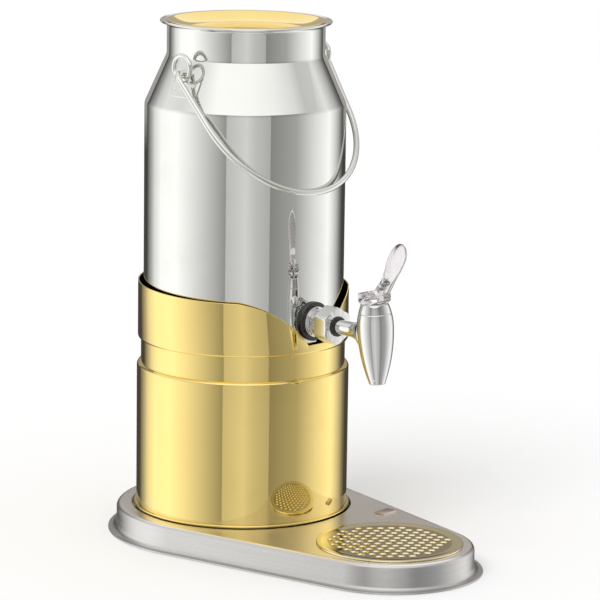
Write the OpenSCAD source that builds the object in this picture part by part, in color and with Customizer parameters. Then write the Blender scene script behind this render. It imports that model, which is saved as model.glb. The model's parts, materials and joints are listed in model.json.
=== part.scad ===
// Milk dispenser: a polished churn with a lever tap, standing in a gilt cooling stand on a drip tray.
// Millimetres. Z is up, the origin is on the churn's axis at the table, the tap points along -Y.

/* [Tray] */
// Width of the tray's top round the stand's well
tray_round = 12.45; // [10.5:0.05:20]
// Width of the tray's top round the drip cup
nose_round = 12.15; // [10.5:0.05:18]
// Distance between the centres of the two ends
tray_span = 174; // [168:1:190]
// Height of the tray's top face
tray_h = 21.8; // [20:0.2:26]
// Thickness of the tray's sheet
tray_sheet = 1.2; // [0.8:0.1:1.6]
// Radius of the tray's rolled top edge
tray_edge_r = 4; // [3:0.5:5]
// Reach of the flared foot flange past the wall
flange_reach = 7; // [5:0.5:9]
// Height of the flared foot flange
flange_h = 5; // [4:0.5:6]
// Depth of the round well that the stand drops into
well_depth = 3.8; // [3:0.2:5]
// Gap between the stand and the wall of its well
well_gap = 3.8; // [3:0.2:5]
// Length of the bare badge plate
badge_l = 18; // [12:1:22]
// Width of the bare badge plate
badge_w = 10; // [6:1:12]
// Thickness of the bare badge plate
badge_t = 1; // [0.6:0.1:1.4]

/* [Underside] */
// Thickness of the non-slip mat
mat_t = 2; // [1.8:0.1:2.6]
// Thickness of the closing plate
plate_t = 1.5; // [1:0.1:2]
// Gap between the closing plate and the tray's wall
plate_gap = 1; // [0.6:0.1:2]
// Diameter of the threaded posts
post_d = 7; // [6:0.5:7]
// Diameter of the base screws' heads
base_head_d = 6.4; // [5.6:0.2:6.6]

/* [Drip] */
// Outer radius of the drip grate's rim
grate_r = 58.9; // [58:0.1:60]
// Width of the grate's flat rim
grate_rim_w = 4; // [3.5:0.1:4.5]
// Width of the slope inside the rim
grate_slope_w = 4.1; // [3.5:0.1:5.5]
// Depth of the perforated floor under the rim
grate_depth = 0.5; // [0.4:0.1:2]
// Thickness of the grate's sheet
grate_t = 0.8; // [0.6:0.1:1.2]
// Pitch of the perforation
hole_pitch = 8.85; // [8:0.05:10]
// Diameter of the perforation
hole_d = 5.6; // [5:0.1:6.6]
// Turn of the perforation about the grate's axis
hole_turn = 23; // [0:1:60]
// Thickness of the drip cup's sheet
cup_t = 0.6; // [0.5:0.1:1]
// Gap between the drip cup and the tray's hole
cup_gap = 0.4; // [0.3:0.1:0.8]
// Clear height under the drip cup
cup_clear = 1.2; // [0.8:0.1:3]

/* [Stand] */
// Step from the band out to the drum
drum_step = 3.35; // [2.6:0.05:4.6]
// Height of the drum's rounded shoulder
drum_top = 142.4; // [130:0.5:150]
// Gap between the churn and the plain band above the drum
churn_gap = 0.9; // [0.6:0.1:1.2]
// Thickness of the stand's sheet
stand_sheet = 1; // [0.8:0.1:1]
// Radius of the drum's rolled bottom edge
drum_edge_r = 3; // [2:0.5:4]
// Thickness of the drum's floor
drum_floor_t = 1.2; // [1:0.1:2]
// Step from the band out to the collar
collar_step = 2.6; // [2.4:0.1:3.6]
// Height of the collar's lower edge
collar_low = 162.6; // [158:0.2:166]
// Mean height of the collar's top edge
collar_top = 209; // [204:0.5:214]
// Rise of the collar's top edge from the axis to the back
collar_tilt = 3; // [0:0.5:5]
// Height of the notch's bottom
notch_low = 170; // [168:0.5:171]
// Radius of the notch's swept sides
notch_arc_r = 99.5; // [94:0.5:102]
// Distance of the swept sides' centres from the middle
notch_arc_x = 88.3; // [86:0.1:92]
// Height of the swept sides' centres
notch_arc_z = 110.8; // [108:0.2:114]
// Height of the seat that the churn stands on
seat_z = 155; // [150:0.5:157]
// Thickness of the seat ring
seat_t = 3; // [2:0.5:4]
// Reach of the seat ring under the churn
seat_lap = 10.5; // [6:0.5:12]
// Distance of the cold pack's side inside the circle of drum screws
pack_in = 10; // [8:0.5:16]
// Height of the cold pack
pack_h = 118; // [90:1:119]
// Distance of the drum screws inside the drum's side
screw_in = 11.75; // [9:0.25:14]
// Diameter of the drum screws
screw_d = 4; // [3:0.5:5]

/* [Churn] */
// Outer radius of the churn's body
churn_r = 82.5; // [80:0.5:86]
// Thickness of the churn's wall
churn_wall = 1; // [0.8:0.1:1.2]
// Height of the churn's floor above its foot edge
churn_floor_up = 5; // [3:0.5:7]
// Height of the shoulder
shoulder_h = 46.4; // [42:0.1:52]
// Height of the neck above the shoulder
neck_h = 23.5; // [21.8:0.1:26]
// Outer radius of the neck
neck_r = 64.6; // [63:0.1:66]
// Outer radius of the rim
rim_r = 70.3; // [69.5:0.1:72]
// Height of the rim's top
rim_top = 425.8; // [423:0.2:429]
// Diameter of the rim's rolled edge
rim_bead_d = 2.2; // [1.8:0.1:2.6]
// Radius of the flare under the rim
flare_r = 3.2; // [2.4:0.1:4]

/* [Lid] */
// Thickness of the lid's sheet
lid_t = 0.8; // [0.6:0.1:1]
// Seat of the lid's flange on the rim
lid_seat = 1.4; // [1:0.1:2]
// Depth of the lid's dish
lid_dish = 7; // [5:0.5:9]
// Radius of the lid's flat floor
lid_floor_r = 41; // [36:0.5:46]
// Depth of the lid's skirt
lid_skirt = 14; // [11:0.5:16]
// Thickness of the seal round the skirt
seal_t = 1.8; // [1.4:0.1:2.2]
// Height of the seal round the skirt
seal_h = 6; // [4:0.5:8]
// Diameter of the vent hole
vent_d = 3; // [2:0.2:4]

/* [Handle] */
// Distance of the ears' axis in front of the churn's axis
ear_offset = 8; // [4:0.5:10]
// Width of an ear plate
ear_w = 28; // [24:1:32]
// Drop of an ear plate's lower edge under the shoulder's top
ear_drop = 33.3; // [30.3:0.1:36.3]
// Thickness of an ear plate
ear_t = 1.5; // [1:0.1:1.6]
// Drop of the ear's folded shelf under the shoulder's top
shelf_drop = 20.3; // [19.3:0.1:22.3]
// Width of the ear's folded shelf
ear_shelf_w = 19; // [17:0.5:22]
// Distance of the ear rings outside the shoulder at the shelf
ring_out = 4.87; // [4.57:0.01:6]
// Mean radius of an ear ring
ring_r = 9.5; // [9:0.1:10]
// Wire diameter of an ear ring
ring_wire = 4; // [3.6:0.1:4.2]
// Wire diameter of the bail
bail_wire = 4.8; // [4.4:0.1:5]
// Difference between the churn's radius and the bail's bow
bail_less = 3.5; // [2.5:0.1:4.5]
// Distance of the bow's centre from the bail's pivot
bail_mid = 43; // [39:0.5:47]
// Bend radius of the bail's turned-in ends
bail_bend = 5.5; // [5:0.1:6.5]
// Clearance of the bail's ends in the rings
bail_gap = 0.6; // [0.4:0.1:0.8]
// Clearance between the bail's legs and the rings
bail_side_gap = 1.9; // [1.7:0.1:2.4]
// Clearance between the hanging bail and the churn
bail_rest_gap = 0.5; // [0.4:0.1:1]
// Length of the bail's ends past the rings
bail_tip = 3.4; // [3:0.1:3.8]

/* [Outlet] */
// Height of the tap's axis
tap_z = 188.5; // [187.5:0.1:190]
// Diameter of the outlet nipple
nipple_d = 16; // [15:0.2:16.4]
// Bore of the outlet nipple
nipple_bore = 9; // [7:0.2:10]
// Diameter of the outer gasket
gasket_d = 32; // [28:0.5:33]
// Thickness of the outer gasket on the tap's axis
gasket_t = 3; // [2.6:0.1:3.4]
// Diameter of the outer washer
washer_d = 25; // [23:0.5:27]
// Thickness of the outer washer
washer_t = 1.6; // [1.2:0.1:2]
// Diameter of the nipple's shoulder
shoulder_d = 21; // [19:0.5:23]
// Thickness of the nipple's shoulder
shoulder_t = 3; // [2.4:0.2:4]
// Thickness of the inner gasket on the tap's axis
inner_gasket_t = 2.6; // [2.4:0.1:3]
// Thickness of the inner lock nut
lock_t = 5; // [4:0.2:6]
// Width across the lock nut's flats
lock_flats = 24; // [22:0.5:26]
// Gap between the nipple's shoulder and the union nut
union_gap = 6.9; // [5.9:0.1:7.9]
// Length of the union nut
union_l = 14; // [13:0.2:16]
// Width across the union nut's flats
union_flats = 27.6; // [26:0.2:29]
// Thickness of the union nut's end wall
union_wall = 4; // [3:0.2:5]
// Thickness of the flange on the tap's pipe
pipe_flange_t = 2.4; // [2:0.1:3]
// Thickness of the gasket in the union
pipe_gasket_t = 2; // [1.6:0.1:2.4]
// Diameter of the tap's pipe
pipe_d = 12; // [11.5:0.1:12.4]
// Bore of the tap's pipe
pipe_bore = 7; // [6:0.2:8]
// Thickness of the retaining ring on the pipe
ring_t = 1.5; // [1.2:0.1:2]
// Width of the retaining ring on the pipe
ring_w = 2.2; // [1.8:0.1:2.6]

/* [Valve] */
// Distance of the valve's axis from the union nut
valve_out = 43; // [40:0.5:47]
// Lean of the valve's axis, with its spout outward
valve_lean = 4; // [2:0.5:5]
// Largest radius of the valve's body
body_r = 14.75; // [14.4:0.05:15.2]
// Height of the largest radius above the tap's axis
body_wide = 6.5; // [5:0.5:8]
// Depth of the spout's end below the tap's axis
body_down = 38.5; // [37:0.5:40]
// Radius of the spout's end
spout_r = 6.6; // [6.3:0.1:7]
// Height of the seam between body and bonnet above the tap's axis
seam_up = 17.5; // [17:0.25:18.5]
// Height of the bonnet's top above the tap's axis
bonnet_up = 25.5; // [25:0.25:27]
// Curve radius of the bonnet's side
bonnet_curve = 50; // [46:1:60]
// Radius of the valve's chamber
chamber_r = 10; // [9.5:0.1:10.2]
// Depth of the valve's seat below the tap's axis
seat_down = 20; // [19:0.5:21]
// Bore radius of the spout
spout_bore_r = 5; // [4.5:0.1:5.2]
// Radius of the seat cup
plug_r = 7.5; // [7:0.1:8]
// Height of the seat cup
plug_h = 9; // [8:0.5:10]
// Radius of the valve stem
stem_r = 2; // [1.8:0.1:2.2]
// Running clearance of the stem in the bonnet
stem_gap = 0.1; // [0.05:0.01:0.1]
// Radius of the stem's spring plate
spring_plate_r = 6.6; // [6.4:0.1:7]
// Wire diameter of the valve spring
spring_wire = 1.2; // [1:0.1:1.3]
// Mean radius of the valve spring
spring_r = 4.6; // [4.4:0.1:5]
// Turns of the valve spring
spring_turns = 6; // [5:1:7]

/* [Lever] */
// Height of the lever's pin above the bonnet
pin_up = 5; // [4.5:0.1:5.5]
// Diameter of the lever's pin
pin_d = 3; // [2.6:0.1:3.2]
// Running clearance of the pin
pin_gap = 0.06; // [0.03:0.01:0.1]
// Radius of the lever's hub
hub_r = 13; // [12.5:0.1:13.5]
// Height of the lever's hub
hub_h = 9.5; // [9:0.1:10.5]
// Half width of the hub's flat foot
foot_half = 5; // [4.5:0.1:5.5]
// Rise angle of the hub's underside past its foot
foot_rise = 24; // [22:1:28]
// Width of the slot for the stem
slot_w = 5; // [4.8:0.1:5.6]
// Width of the paddle at its root
paddle_root_w = 16; // [14:0.5:18]
// Width of the paddle at its end
paddle_end_w = 21; // [19:0.5:23]
// Thickness of the paddle at its root
paddle_root_t = 8; // [7:0.2:9]
// Thickness of the paddle at its end
paddle_end_t = 4.6; // [4:0.2:6]
// Reach of the paddle's end from the valve's axis
paddle_reach = 31; // [28:0.5:34]
// Height of the paddle's end above the bonnet
paddle_h = 51; // [46:0.5:54]

/* [Hidden] */
$fn = 96;
eps = 0.05;
weld = 0.05;
cut = 60;

// Radii of the stand, from the churn outward
band_in = churn_r + churn_gap;
band_r = band_in + stand_sheet;
collar_r = band_r + collar_step;
drum_r = band_r + drum_step;
screw_ring_r = drum_r - screw_in;
pack_r = screw_ring_r - pack_in;
seat_bore_r = churn_r - seat_lap;

// Drip cup and grate, on the small end's centre
grate_lip_t = 0.8;
grate_lip_gap = 0.2;
rim_low = tray_h + cup_t;
cup_flange_r = grate_r - grate_lip_t - cup_gap;
cup_r_in = grate_r - grate_rim_w - weld;
cup_r_out = cup_r_in + cup_t;
cup_low = mat_t + plate_t + cup_clear;
grate_floor_r = grate_r - grate_rim_w - grate_slope_w;
hole_rows = ceil(grate_floor_r / hole_pitch) + 1;
hole_edge = 0.5;
hole_shift = [3.4, -1.4];
cup_chamfer = 3;

// Tray outline: two round ends joined by tangents
well_r = drum_r + well_gap;
tray_big_r = well_r + tray_round;
tray_small_r = cup_r_out + cup_gap + nose_round;
tray_a = asin((tray_big_r - tray_small_r) / tray_span);
tray_side = sqrt(pow(tray_span, 2) - pow(tray_big_r - tray_small_r, 2));
flange_low = 0.3;
tray_lap = 1.5;
top_less = 0.1;
top_sheet = tray_sheet - top_less;
top_turn = 2;
screw_gap = 0.2;
thread_gap = 0.08;
well_floor = tray_h - well_depth;
badge_place = [65.4, -104.7];
badge_turn = 6.5;

// Fasteners of the base
base_screw_d = 3;
base_head_h = 1.6;
head_gap = 0.4;
post_deep = 8;
base_grip = 6;
post_low = mat_t + plate_t;
well_post_in = 27.75;
well_post_r = drum_r - well_post_in;
front_post = [46, -(well_r + tray_span - cup_r_out - cup_gap) / 2];
nose_post_y = -tray_span - (cup_r_out + cup_gap + tray_small_r - tray_edge_r) / 2;
head_more = 3;
screw_head_d = screw_d + head_more;
screw_head_h = 2.6;
screw_past = 1.5;
nut_h = 3.2;
nut_flats = screw_d + head_more;
nut_chamfer = 0.5;

// Stand
spigot_lap = 3.4;
spigot_top = collar_low + spigot_lap;
collar_in = collar_r - stand_sheet;
collar_edge_r = collar_r - band_r - weld;
notch_half = 64;
pack_low = well_floor + drum_floor_t;
pack_top = pack_low + pack_h;
pack_edge_r = 6;
pack_neck_d = 14;
pack_neck_deep = 8;
pack_cap_d = 22;
pack_cap_h = 4;

// Churn
shoulder_top = rim_top - neck_h;
shoulder_low = shoulder_top - shoulder_h;
churn_in = churn_r - churn_wall;
neck_in = neck_r - churn_wall;
cone_rate = (churn_r - neck_r) / (shoulder_top - shoulder_low);
cone_a = atan(cone_rate);
function cone_r(z) = neck_r + (shoulder_top - z) * cone_rate;
lip_z = rim_top - lid_t;
lip_t = churn_wall;
shoulder_low_bend = 9;
shoulder_top_bend = 6;

// Lid
lid_r = neck_in + lid_seat;
seal_gap = 0.3;
seal_lip = 1.4;
seal_groove = 0.8;
skirt_r = neck_in - seal_gap - seal_t;
skirt_lip = 0.8;
dish_lap = 0.6;
dish_r_out = skirt_r + dish_lap;
dish_floor_z = rim_top - lid_dish;
dish_curve = (pow(dish_r_out - lid_floor_r, 2) + pow(lid_dish, 2)) / (2 * lid_dish);
vent_place = [6, 16];

// Handle
ear_low = shoulder_top - ear_drop;
ear_shelf_z = shoulder_top - shelf_drop;
ring_x = cone_r(ear_shelf_z) + ring_out;
ring_flat = 0.3;
ring_z = ear_shelf_z + ring_r + ring_wire / 2 - ring_flat;
pivot_z = ring_z - ring_r + ring_wire / 2 + bail_gap + bail_wire / 2;
bail_r = churn_r - bail_less;
bail_len = bail_mid + bail_r;
bail_out = ring_x + ring_wire / 2 + bail_side_gap + bail_wire / 2;
bail_hang = asin((churn_r + bail_rest_gap + bail_wire / 2 - ear_offset) / bail_len);
bend_x = bail_out - bail_bend;
leg_far = bail_mid - bail_bend;
leg_a = acos((bail_r - bail_bend) / norm([bend_x, leg_far])) - atan2(leg_far, bend_x);
leg_l = norm([bend_x, leg_far]) * sin(acos((bail_r - bail_bend) / norm([bend_x, leg_far])));
bail_end_x = ring_x - ring_wire / 2 - bail_tip;
leg_lap = 0.2;
leg_more = 0.02;

// Outlet stack along the tap's axis
gasket_out = churn_r + gasket_t;
washer_out = gasket_out + washer_t;
union_in = washer_out + shoulder_t + union_gap;
union_out = union_in + union_l;
valve_reach = union_out + valve_out;
flange_out = union_out - union_wall;
flange_in = flange_out - pipe_flange_t;
nipple_out = flange_in - pipe_gasket_t;
lock_out = churn_in - inner_gasket_t;
lock_in = lock_out - lock_t;
lock_chamfer = 0.8;
union_chamfer = 2;
nipple_past = 1.5;
pipe_gap = 0.2;
flange_less = 0.6;
gasket_back = churn_r - gasket_d / 4;
inner_gasket_less = 4;
pipe_flange_d = nipple_d - flange_less;

// Valve, measured along its own axis from the tap's axis
body_drop = body_down + body_wide;
body_curve = (pow(body_drop, 2) + pow(body_r - spout_r, 2)) / (2 * (body_r - spout_r));
function bonnet_r(z) = body_r - bonnet_curve + sqrt(pow(bonnet_curve, 2) - pow(z - body_wide, 2));
spigot_h = 5;
bonnet_in = seam_up - spigot_h;
spigot_gap = 0.1;
seal_d = 1.6;
seal_slack = 0.1;
groove_z = bonnet_in + spigot_h / 2;
plug_top = plug_h - seat_down;
plug_socket = 3 - seat_down;
spring_plate_t = 1.6;
plate_up = plug_top + spring_plate_t;
pin_z = bonnet_up + pin_up;
stem_past = 2.6;
stem_top = pin_z + stem_past;
spring_low = plate_up + spring_wire / 2;
spring_high = bonnet_in - spring_wire / 2;

// Points on an arc
function arc(c, r, a0, a1, n = 8) =
    [for (i = [0:n]) let (a = a0 + (a1 - a0) * i / n) c + r * [cos(a), sin(a)]];

// Point on a cubic curve
function curve(p, t) =
    pow(1 - t, 3) * p[0] + 3 * t * pow(1 - t, 2) * p[1] + 3 * t * t * (1 - t) * p[2] + pow(t, 3) * p[3];

// A profile turned about Z
module turned(points) {
    rotate_extrude() polygon(points);
}

// A flat ring or disc
module ring(r_out, r_in, z0, z1) {
    difference() {
        translate([0, 0, z0]) cylinder(r = r_out, h = z1 - z0);
        translate([0, 0, z0 - 1]) cylinder(r = r_in, h = z1 - z0 + 2);
    }
}

// A hexagon prism with chamfered corners
module hex(flats, z0, z1, chamfer) {
    corner = flats / cos(30) / 2;
    intersection() {
        translate([0, 0, z0]) cylinder(r = corner, h = z1 - z0, $fn = 6);
        turned([
            [0, z0], [flats / 2, z0], [corner, z0 + chamfer],
            [corner, z1 - chamfer], [flats / 2, z1], [0, z1]
        ]);
    }
}

// Children moved to the centre of the tray's small end
module at_nose() {
    translate([0, -tray_span, 0]) children();
}

// Children with local Z along the tap's axis, outward
module along_tap() {
    translate([0, 0, tap_z]) rotate([90, 0, 0]) children();
}

// Children with local Z up the valve's leaning axis
module along_valve() {
    translate([0, -valve_reach, tap_z]) rotate([-valve_lean, 0, 0]) children();
}

// Flat tray outline, drawn in by an inset, between two heights
module tray_slab(inset, z0, z1) {
    h = z1 - z0;
    r1 = tray_big_r - inset;
    r2 = tray_small_r - inset;
    translate([0, 0, z0]) {
        rotate([0, 0, -tray_a]) rotate_extrude(angle = 180 + 2 * tray_a) square([r1, h]);
        at_nose() rotate([0, 0, 180 + tray_a]) rotate_extrude(angle = 180 - 2 * tray_a) square([r2, h]);
        linear_extrude(h) polygon([
            [0, 0], r1 * [cos(tray_a), -sin(tray_a)],
            [0, -tray_span] + r2 * [cos(tray_a), -sin(tray_a)], [0, -tray_span],
            [0, -tray_span] + r2 * [-cos(tray_a), -sin(tray_a)], r1 * [-cos(tray_a), -sin(tray_a)]
        ]);
    }
}

// Outline of the tray's top sheet, drawn in by an inset
function tray_outline(inset) = concat(
    arc([0, 0], tray_big_r - inset, top_turn - tray_a, 180 + tray_a - top_turn, 48),
    arc([0, -tray_span], tray_small_r - inset, 180 + tray_a + top_turn, 360 - tray_a - top_turn, 32)
);

// Wall section of the tray: rolled edge, upright wall and flared foot, for an end of radius r
function tray_section(r) = concat(
    [[r - 2 * tray_edge_r, tray_h]],
    arc([r - tray_edge_r, tray_h - tray_edge_r], tray_edge_r, 90, 0),
    arc([r + flange_h, flange_low + tray_sheet + flange_h], flange_h, 180, 270),
    [[r + flange_reach, flange_low + tray_sheet], [r + flange_reach, flange_low]],
    arc([r + flange_h, flange_low + tray_sheet + flange_h], flange_h + tray_sheet, 270, 180),
    arc([r - tray_edge_r, tray_h - tray_edge_r], tray_edge_r - tray_sheet, 0, 90),
    [[r - 2 * tray_edge_r, tray_h - tray_sheet]]
);

// One straight side of the tray's wall
module tray_side_wall() {
    rotate([0, 0, -tray_a])
        translate([tray_big_r - tray_small_r, 0, 0])
            rotate([90, 0, 0])
                linear_extrude(tray_side) polygon(tray_section(tray_small_r));
}

module base_tray() {
    color("silver") difference() {
        union() {
            difference() {
                translate([0, 0, tray_h - top_sheet]) linear_extrude(top_sheet)
                    polygon(tray_outline(2 * tray_edge_r - tray_lap));
                translate([0, 0, tray_h - cut / 2]) cylinder(r = well_r, h = cut);
            }
            rotate([0, 0, -tray_a])
                rotate_extrude(angle = 180 + 2 * tray_a) polygon(tray_section(tray_big_r));
            at_nose() rotate([0, 0, 180 + tray_a])
                rotate_extrude(angle = 180 - 2 * tray_a) polygon(tray_section(tray_small_r));
            tray_side_wall();
            mirror([1, 0, 0]) tray_side_wall();
            ring(well_r + tray_sheet, well_r, well_floor - tray_sheet, tray_h);
            translate([0, 0, well_floor - tray_sheet]) cylinder(r = well_r + tray_sheet, h = tray_sheet);
        }
        at_nose() translate([0, 0, tray_h - cut / 2]) cylinder(r = cup_r_out + cup_gap, h = cut);
        drum_screw_places() cylinder(d = screw_d + 2 * screw_gap, h = tray_h);
    }
}

module base_plate() {
    color("gray") difference() {
        tray_slab(tray_sheet + plate_gap, mat_t, mat_t + plate_t);
        base_post_places() cylinder(d = base_screw_d + 2 * screw_gap, h = cut);
    }
}

module base_mat() {
    color("dimgray") difference() {
        tray_slab(tray_sheet + plate_gap, 0, mat_t);
        base_post_places() translate([0, 0, -1]) cylinder(d = base_head_d + 2 * head_gap, h = mat_t + 2);
    }
}

// Children under the well, beside the drip cup and in the nose
module base_post_places() {
    for (a = [0:90:270]) rotate([0, 0, a]) translate([well_post_r, 0, 0]) children();
    for (s = [-1, 1]) translate([s * front_post.x, front_post.y, 0]) children();
    translate([0, nose_post_y, 0]) children();
}

// One threaded post up to a height
module post(top) {
    difference() {
        translate([0, 0, post_low]) cylinder(d = post_d, h = top - post_low);
        translate([0, 0, post_low - 1]) cylinder(d = base_screw_d + 2 * thread_gap, h = post_deep + 1);
    }
}

module base_posts() {
    color("gray") {
        for (a = [0:90:270]) rotate([0, 0, a]) translate([well_post_r, 0, 0]) post(well_floor - tray_sheet);
        for (s = [-1, 1]) translate([s * front_post.x, front_post.y, 0]) post(tray_h - top_sheet);
        translate([0, nose_post_y, 0]) post(tray_h - tray_sheet);
    }
}

module base_screws() {
    color("silver") base_post_places() {
        translate([0, 0, mat_t - base_head_h]) cylinder(d = base_head_d, h = base_head_h);
        translate([0, 0, mat_t - eps]) cylinder(d = base_screw_d, h = plate_t + base_grip);
    }
}

module badge_plate() {
    color("lightgray") translate([badge_place.x, badge_place.y, tray_h]) rotate([0, 0, badge_turn])
        translate([-badge_l / 2, -badge_w / 2, 0]) cube([badge_l, badge_w, badge_t]);
}

module drip_cup() {
    inside = cup_chamfer + cup_t * tan(22.5);
    color("silver") at_nose() turned([
        [0, cup_low], [cup_r_out - cup_chamfer, cup_low], [cup_r_out, cup_low + cup_chamfer],
        [cup_r_out, tray_h], [cup_flange_r, tray_h], [cup_flange_r, rim_low], [cup_r_in, rim_low],
        [cup_r_in, cup_low + inside], [cup_r_out - inside, cup_low + cup_t], [0, cup_low + cup_t]
    ]);
}

module drip_grate() {
    rim_high = rim_low + grate_t;
    lip_low = tray_h + grate_lip_gap;
    slope_top = grate_r - grate_rim_w;
    drop = grate_t * tan(atan2(grate_depth, grate_slope_w) / 2);
    color("gold") at_nose() difference() {
        turned(concat(
            [[0, rim_high - grate_depth], [grate_floor_r, rim_high - grate_depth], [slope_top, rim_high]],
            arc([grate_r - grate_t, rim_low], grate_t, 90, 0, 5),
            [[grate_r, lip_low], [grate_r - grate_lip_t, lip_low]],
            [[grate_r - grate_lip_t, rim_low], [slope_top - drop, rim_low]],
            [[grate_floor_r - drop, rim_low - grate_depth], [0, rim_low - grate_depth]]
        ));
        rotate([0, 0, hole_turn]) for (i = [-hole_rows:hole_rows], j = [-hole_rows:hole_rows]) {
            place = hole_pitch * [i + j / 2, j * sin(60)] + hole_shift;
            if (norm(place) < grate_floor_r - hole_d / 2 - hole_edge)
                translate([place.x, place.y, 0]) cylinder(d = hole_d, h = cut);
        }
    }
}

module stand_drum() {
    bottom = [drum_r - drum_edge_r, well_floor + drum_edge_r];
    step = drum_r - band_r;
    top = [band_r, drum_top - step];
    color("gold") turned(concat(
        arc(bottom, drum_edge_r, 270, 360, 5), arc(top, step, 0, 90),
        [[band_r, spigot_top], [band_in, spigot_top], [band_in, drum_top - stand_sheet]],
        arc(top, step - stand_sheet, 90, 0), arc(bottom, drum_edge_r - stand_sheet, 360, 270, 5)
    ));
}

// Children at the four drum screws
module drum_screw_places() {
    for (a = [45:90:315]) rotate([0, 0, a]) translate([screw_ring_r, 0, 0]) children();
}

module drum_floor() {
    color("silver") difference() {
        translate([0, 0, well_floor]) cylinder(r = drum_r - drum_edge_r - weld, h = drum_floor_t);
        drum_screw_places() cylinder(d = screw_d + 2 * screw_gap, h = cut);
    }
}

module drum_screws() {
    head_top = well_floor - tray_sheet;
    color("silver") drum_screw_places() {
        translate([0, 0, head_top - screw_head_h]) cylinder(d = screw_head_d, h = screw_head_h);
        translate([0, 0, head_top - eps])
            cylinder(d = screw_d, h = tray_sheet + drum_floor_t + nut_h + screw_past);
    }
}

module drum_nuts() {
    low = well_floor + drum_floor_t;
    color("silver") drum_screw_places() difference() {
        hex(nut_flats, low, low + nut_h, nut_chamfer);
        translate([0, 0, low - 1]) cylinder(d = screw_d + 2 * thread_gap, h = nut_h + 2);
    }
}

// Section of the collar before its top edge is cut
function collar_section(high) =
    let (c = [collar_r - collar_edge_r, collar_low + collar_edge_r])
    concat(
        arc(c, collar_edge_r, 270, 360, 5),
        [[collar_r, high], [collar_in, high]],
        arc(c, collar_edge_r - stand_sheet, 360, 270, 5)
    );

module stand_collar() {
    high = collar_top + collar_tilt + 5;
    color("gold") difference() {
        turned(collar_section(high));
        translate([0, 0, collar_top]) rotate([atan2(collar_tilt, collar_r), 0, 0])
            translate([-2 * collar_r, -2 * collar_r, 0]) cube([4 * collar_r, 4 * collar_r, cut]);
        rotate([90, 0, 0]) linear_extrude(2 * collar_r) difference() {
            translate([-notch_half, notch_low]) square([2 * notch_half, cut]);
            for (s = [-1, 1]) translate([s * notch_arc_x, notch_arc_z]) circle(notch_arc_r);
        }
    }
}

module churn_seat() {
    color("silver") ring(band_in - weld, seat_bore_r, seat_z - seat_t, seat_z);
}

module cold_pack() {
    edge = pack_edge_r;
    color("steelblue") difference() {
        turned(concat(
            [[0, pack_low]], arc([pack_r - edge, pack_low + edge], edge, 270, 360, 5),
            arc([pack_r - edge, pack_top - edge], edge, 0, 90, 5), [[0, pack_top]]
        ));
        translate([0, 0, pack_top - pack_neck_deep]) cylinder(d = pack_neck_d, h = cut);
    }
}

module pack_cap() {
    plug_l = pack_neck_deep - 1;
    color("white") {
        translate([0, 0, pack_top]) cylinder(d = pack_cap_d, h = pack_cap_h);
        translate([0, 0, pack_top - plug_l]) cylinder(d = pack_neck_d - 2 * thread_gap, h = plug_l + eps);
    }
}

// Outer line of the churn, or its inner line at a wall's depth
function churn_line(wall) =
    let (
        low = shoulder_low_bend,
        high = shoulder_top_bend,
        half_low = tan(cone_a / 2),
        c_low = [churn_r - low, shoulder_low - low * half_low],
        c_high = [neck_r + high, shoulder_top + high * half_low],
        c_rim = [neck_r + flare_r, lip_z - lip_t - flare_r]
    )
    concat(
        [[churn_r - wall, seat_z]],
        arc(c_low, low - wall, 0, cone_a, 5),
        arc(c_high, high + wall, 180 + cone_a, 180, 5),
        arc(c_rim, flare_r + wall, 180, 90, 6)
    );

module churn_shell() {
    inner = churn_line(churn_wall);
    bead = rim_bead_d / 2;
    color("gainsboro") difference() {
        union() {
            turned(concat(
                churn_line(0), [[rim_r - bead, lip_z - lip_t], [rim_r - bead, lip_z]],
                [for (i = [len(inner) - 1:-1:0]) inner[i]]
            ));
            rotate_extrude() translate([rim_r - bead, rim_top - bead]) circle(bead);
        }
        along_tap() cylinder(d = nipple_d + 2 * thread_gap, h = 2 * churn_r);
    }
}

module churn_floor() {
    low = seat_z + churn_floor_up;
    color("gainsboro") translate([0, 0, low]) cylinder(r = churn_in - weld, h = churn_wall);
}

module lid() {
    c = [lid_floor_r, dish_floor_z + dish_curve];
    a = asin((dish_r_out - lid_floor_r) / dish_curve);
    skirt_low = lip_z - lid_skirt;
    color("gold") difference() {
        union() {
            turned(concat(
                [[0, dish_floor_z]], arc(c, dish_curve, 270, 270 + a),
                [[lid_r, rim_top], [lid_r, lip_z], [dish_r_out, lip_z]],
                arc(c, dish_curve + lid_t, 270 + a, 270), [[0, dish_floor_z - lid_t]]
            ));
            turned([
                [skirt_r - lid_t, skirt_low], [skirt_r + skirt_lip, skirt_low],
                [skirt_r + skirt_lip, skirt_low + lid_t],
                [skirt_r, skirt_low + lid_t], [skirt_r, lip_z], [skirt_r - lid_t, lip_z]
            ]);
        }
        translate([vent_place.x, vent_place.y, dish_floor_z - cut / 2]) cylinder(d = vent_d, h = cut);
    }
}

module lid_seal() {
    low = lip_z - lid_skirt + lid_t;
    color("white") turned([
        [skirt_r + weld, low], [skirt_r + seal_t, low], [skirt_r + seal_t, low + seal_lip],
        [skirt_r + seal_t - seal_groove, low + seal_h / 2], [skirt_r + seal_t, low + seal_h - seal_lip],
        [skirt_r + seal_t, low + seal_h], [skirt_r + weld, low + seal_h]
    ]);
}

// Solid of the churn's shoulder, grown by a skin
module shoulder_solid(skin) {
    out = skin / cos(cone_a);
    turned([
        [0, shoulder_low], [cone_r(shoulder_low) + out, shoulder_low],
        [cone_r(shoulder_top) + out, shoulder_top], [0, shoulder_top]
    ]);
}

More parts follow.
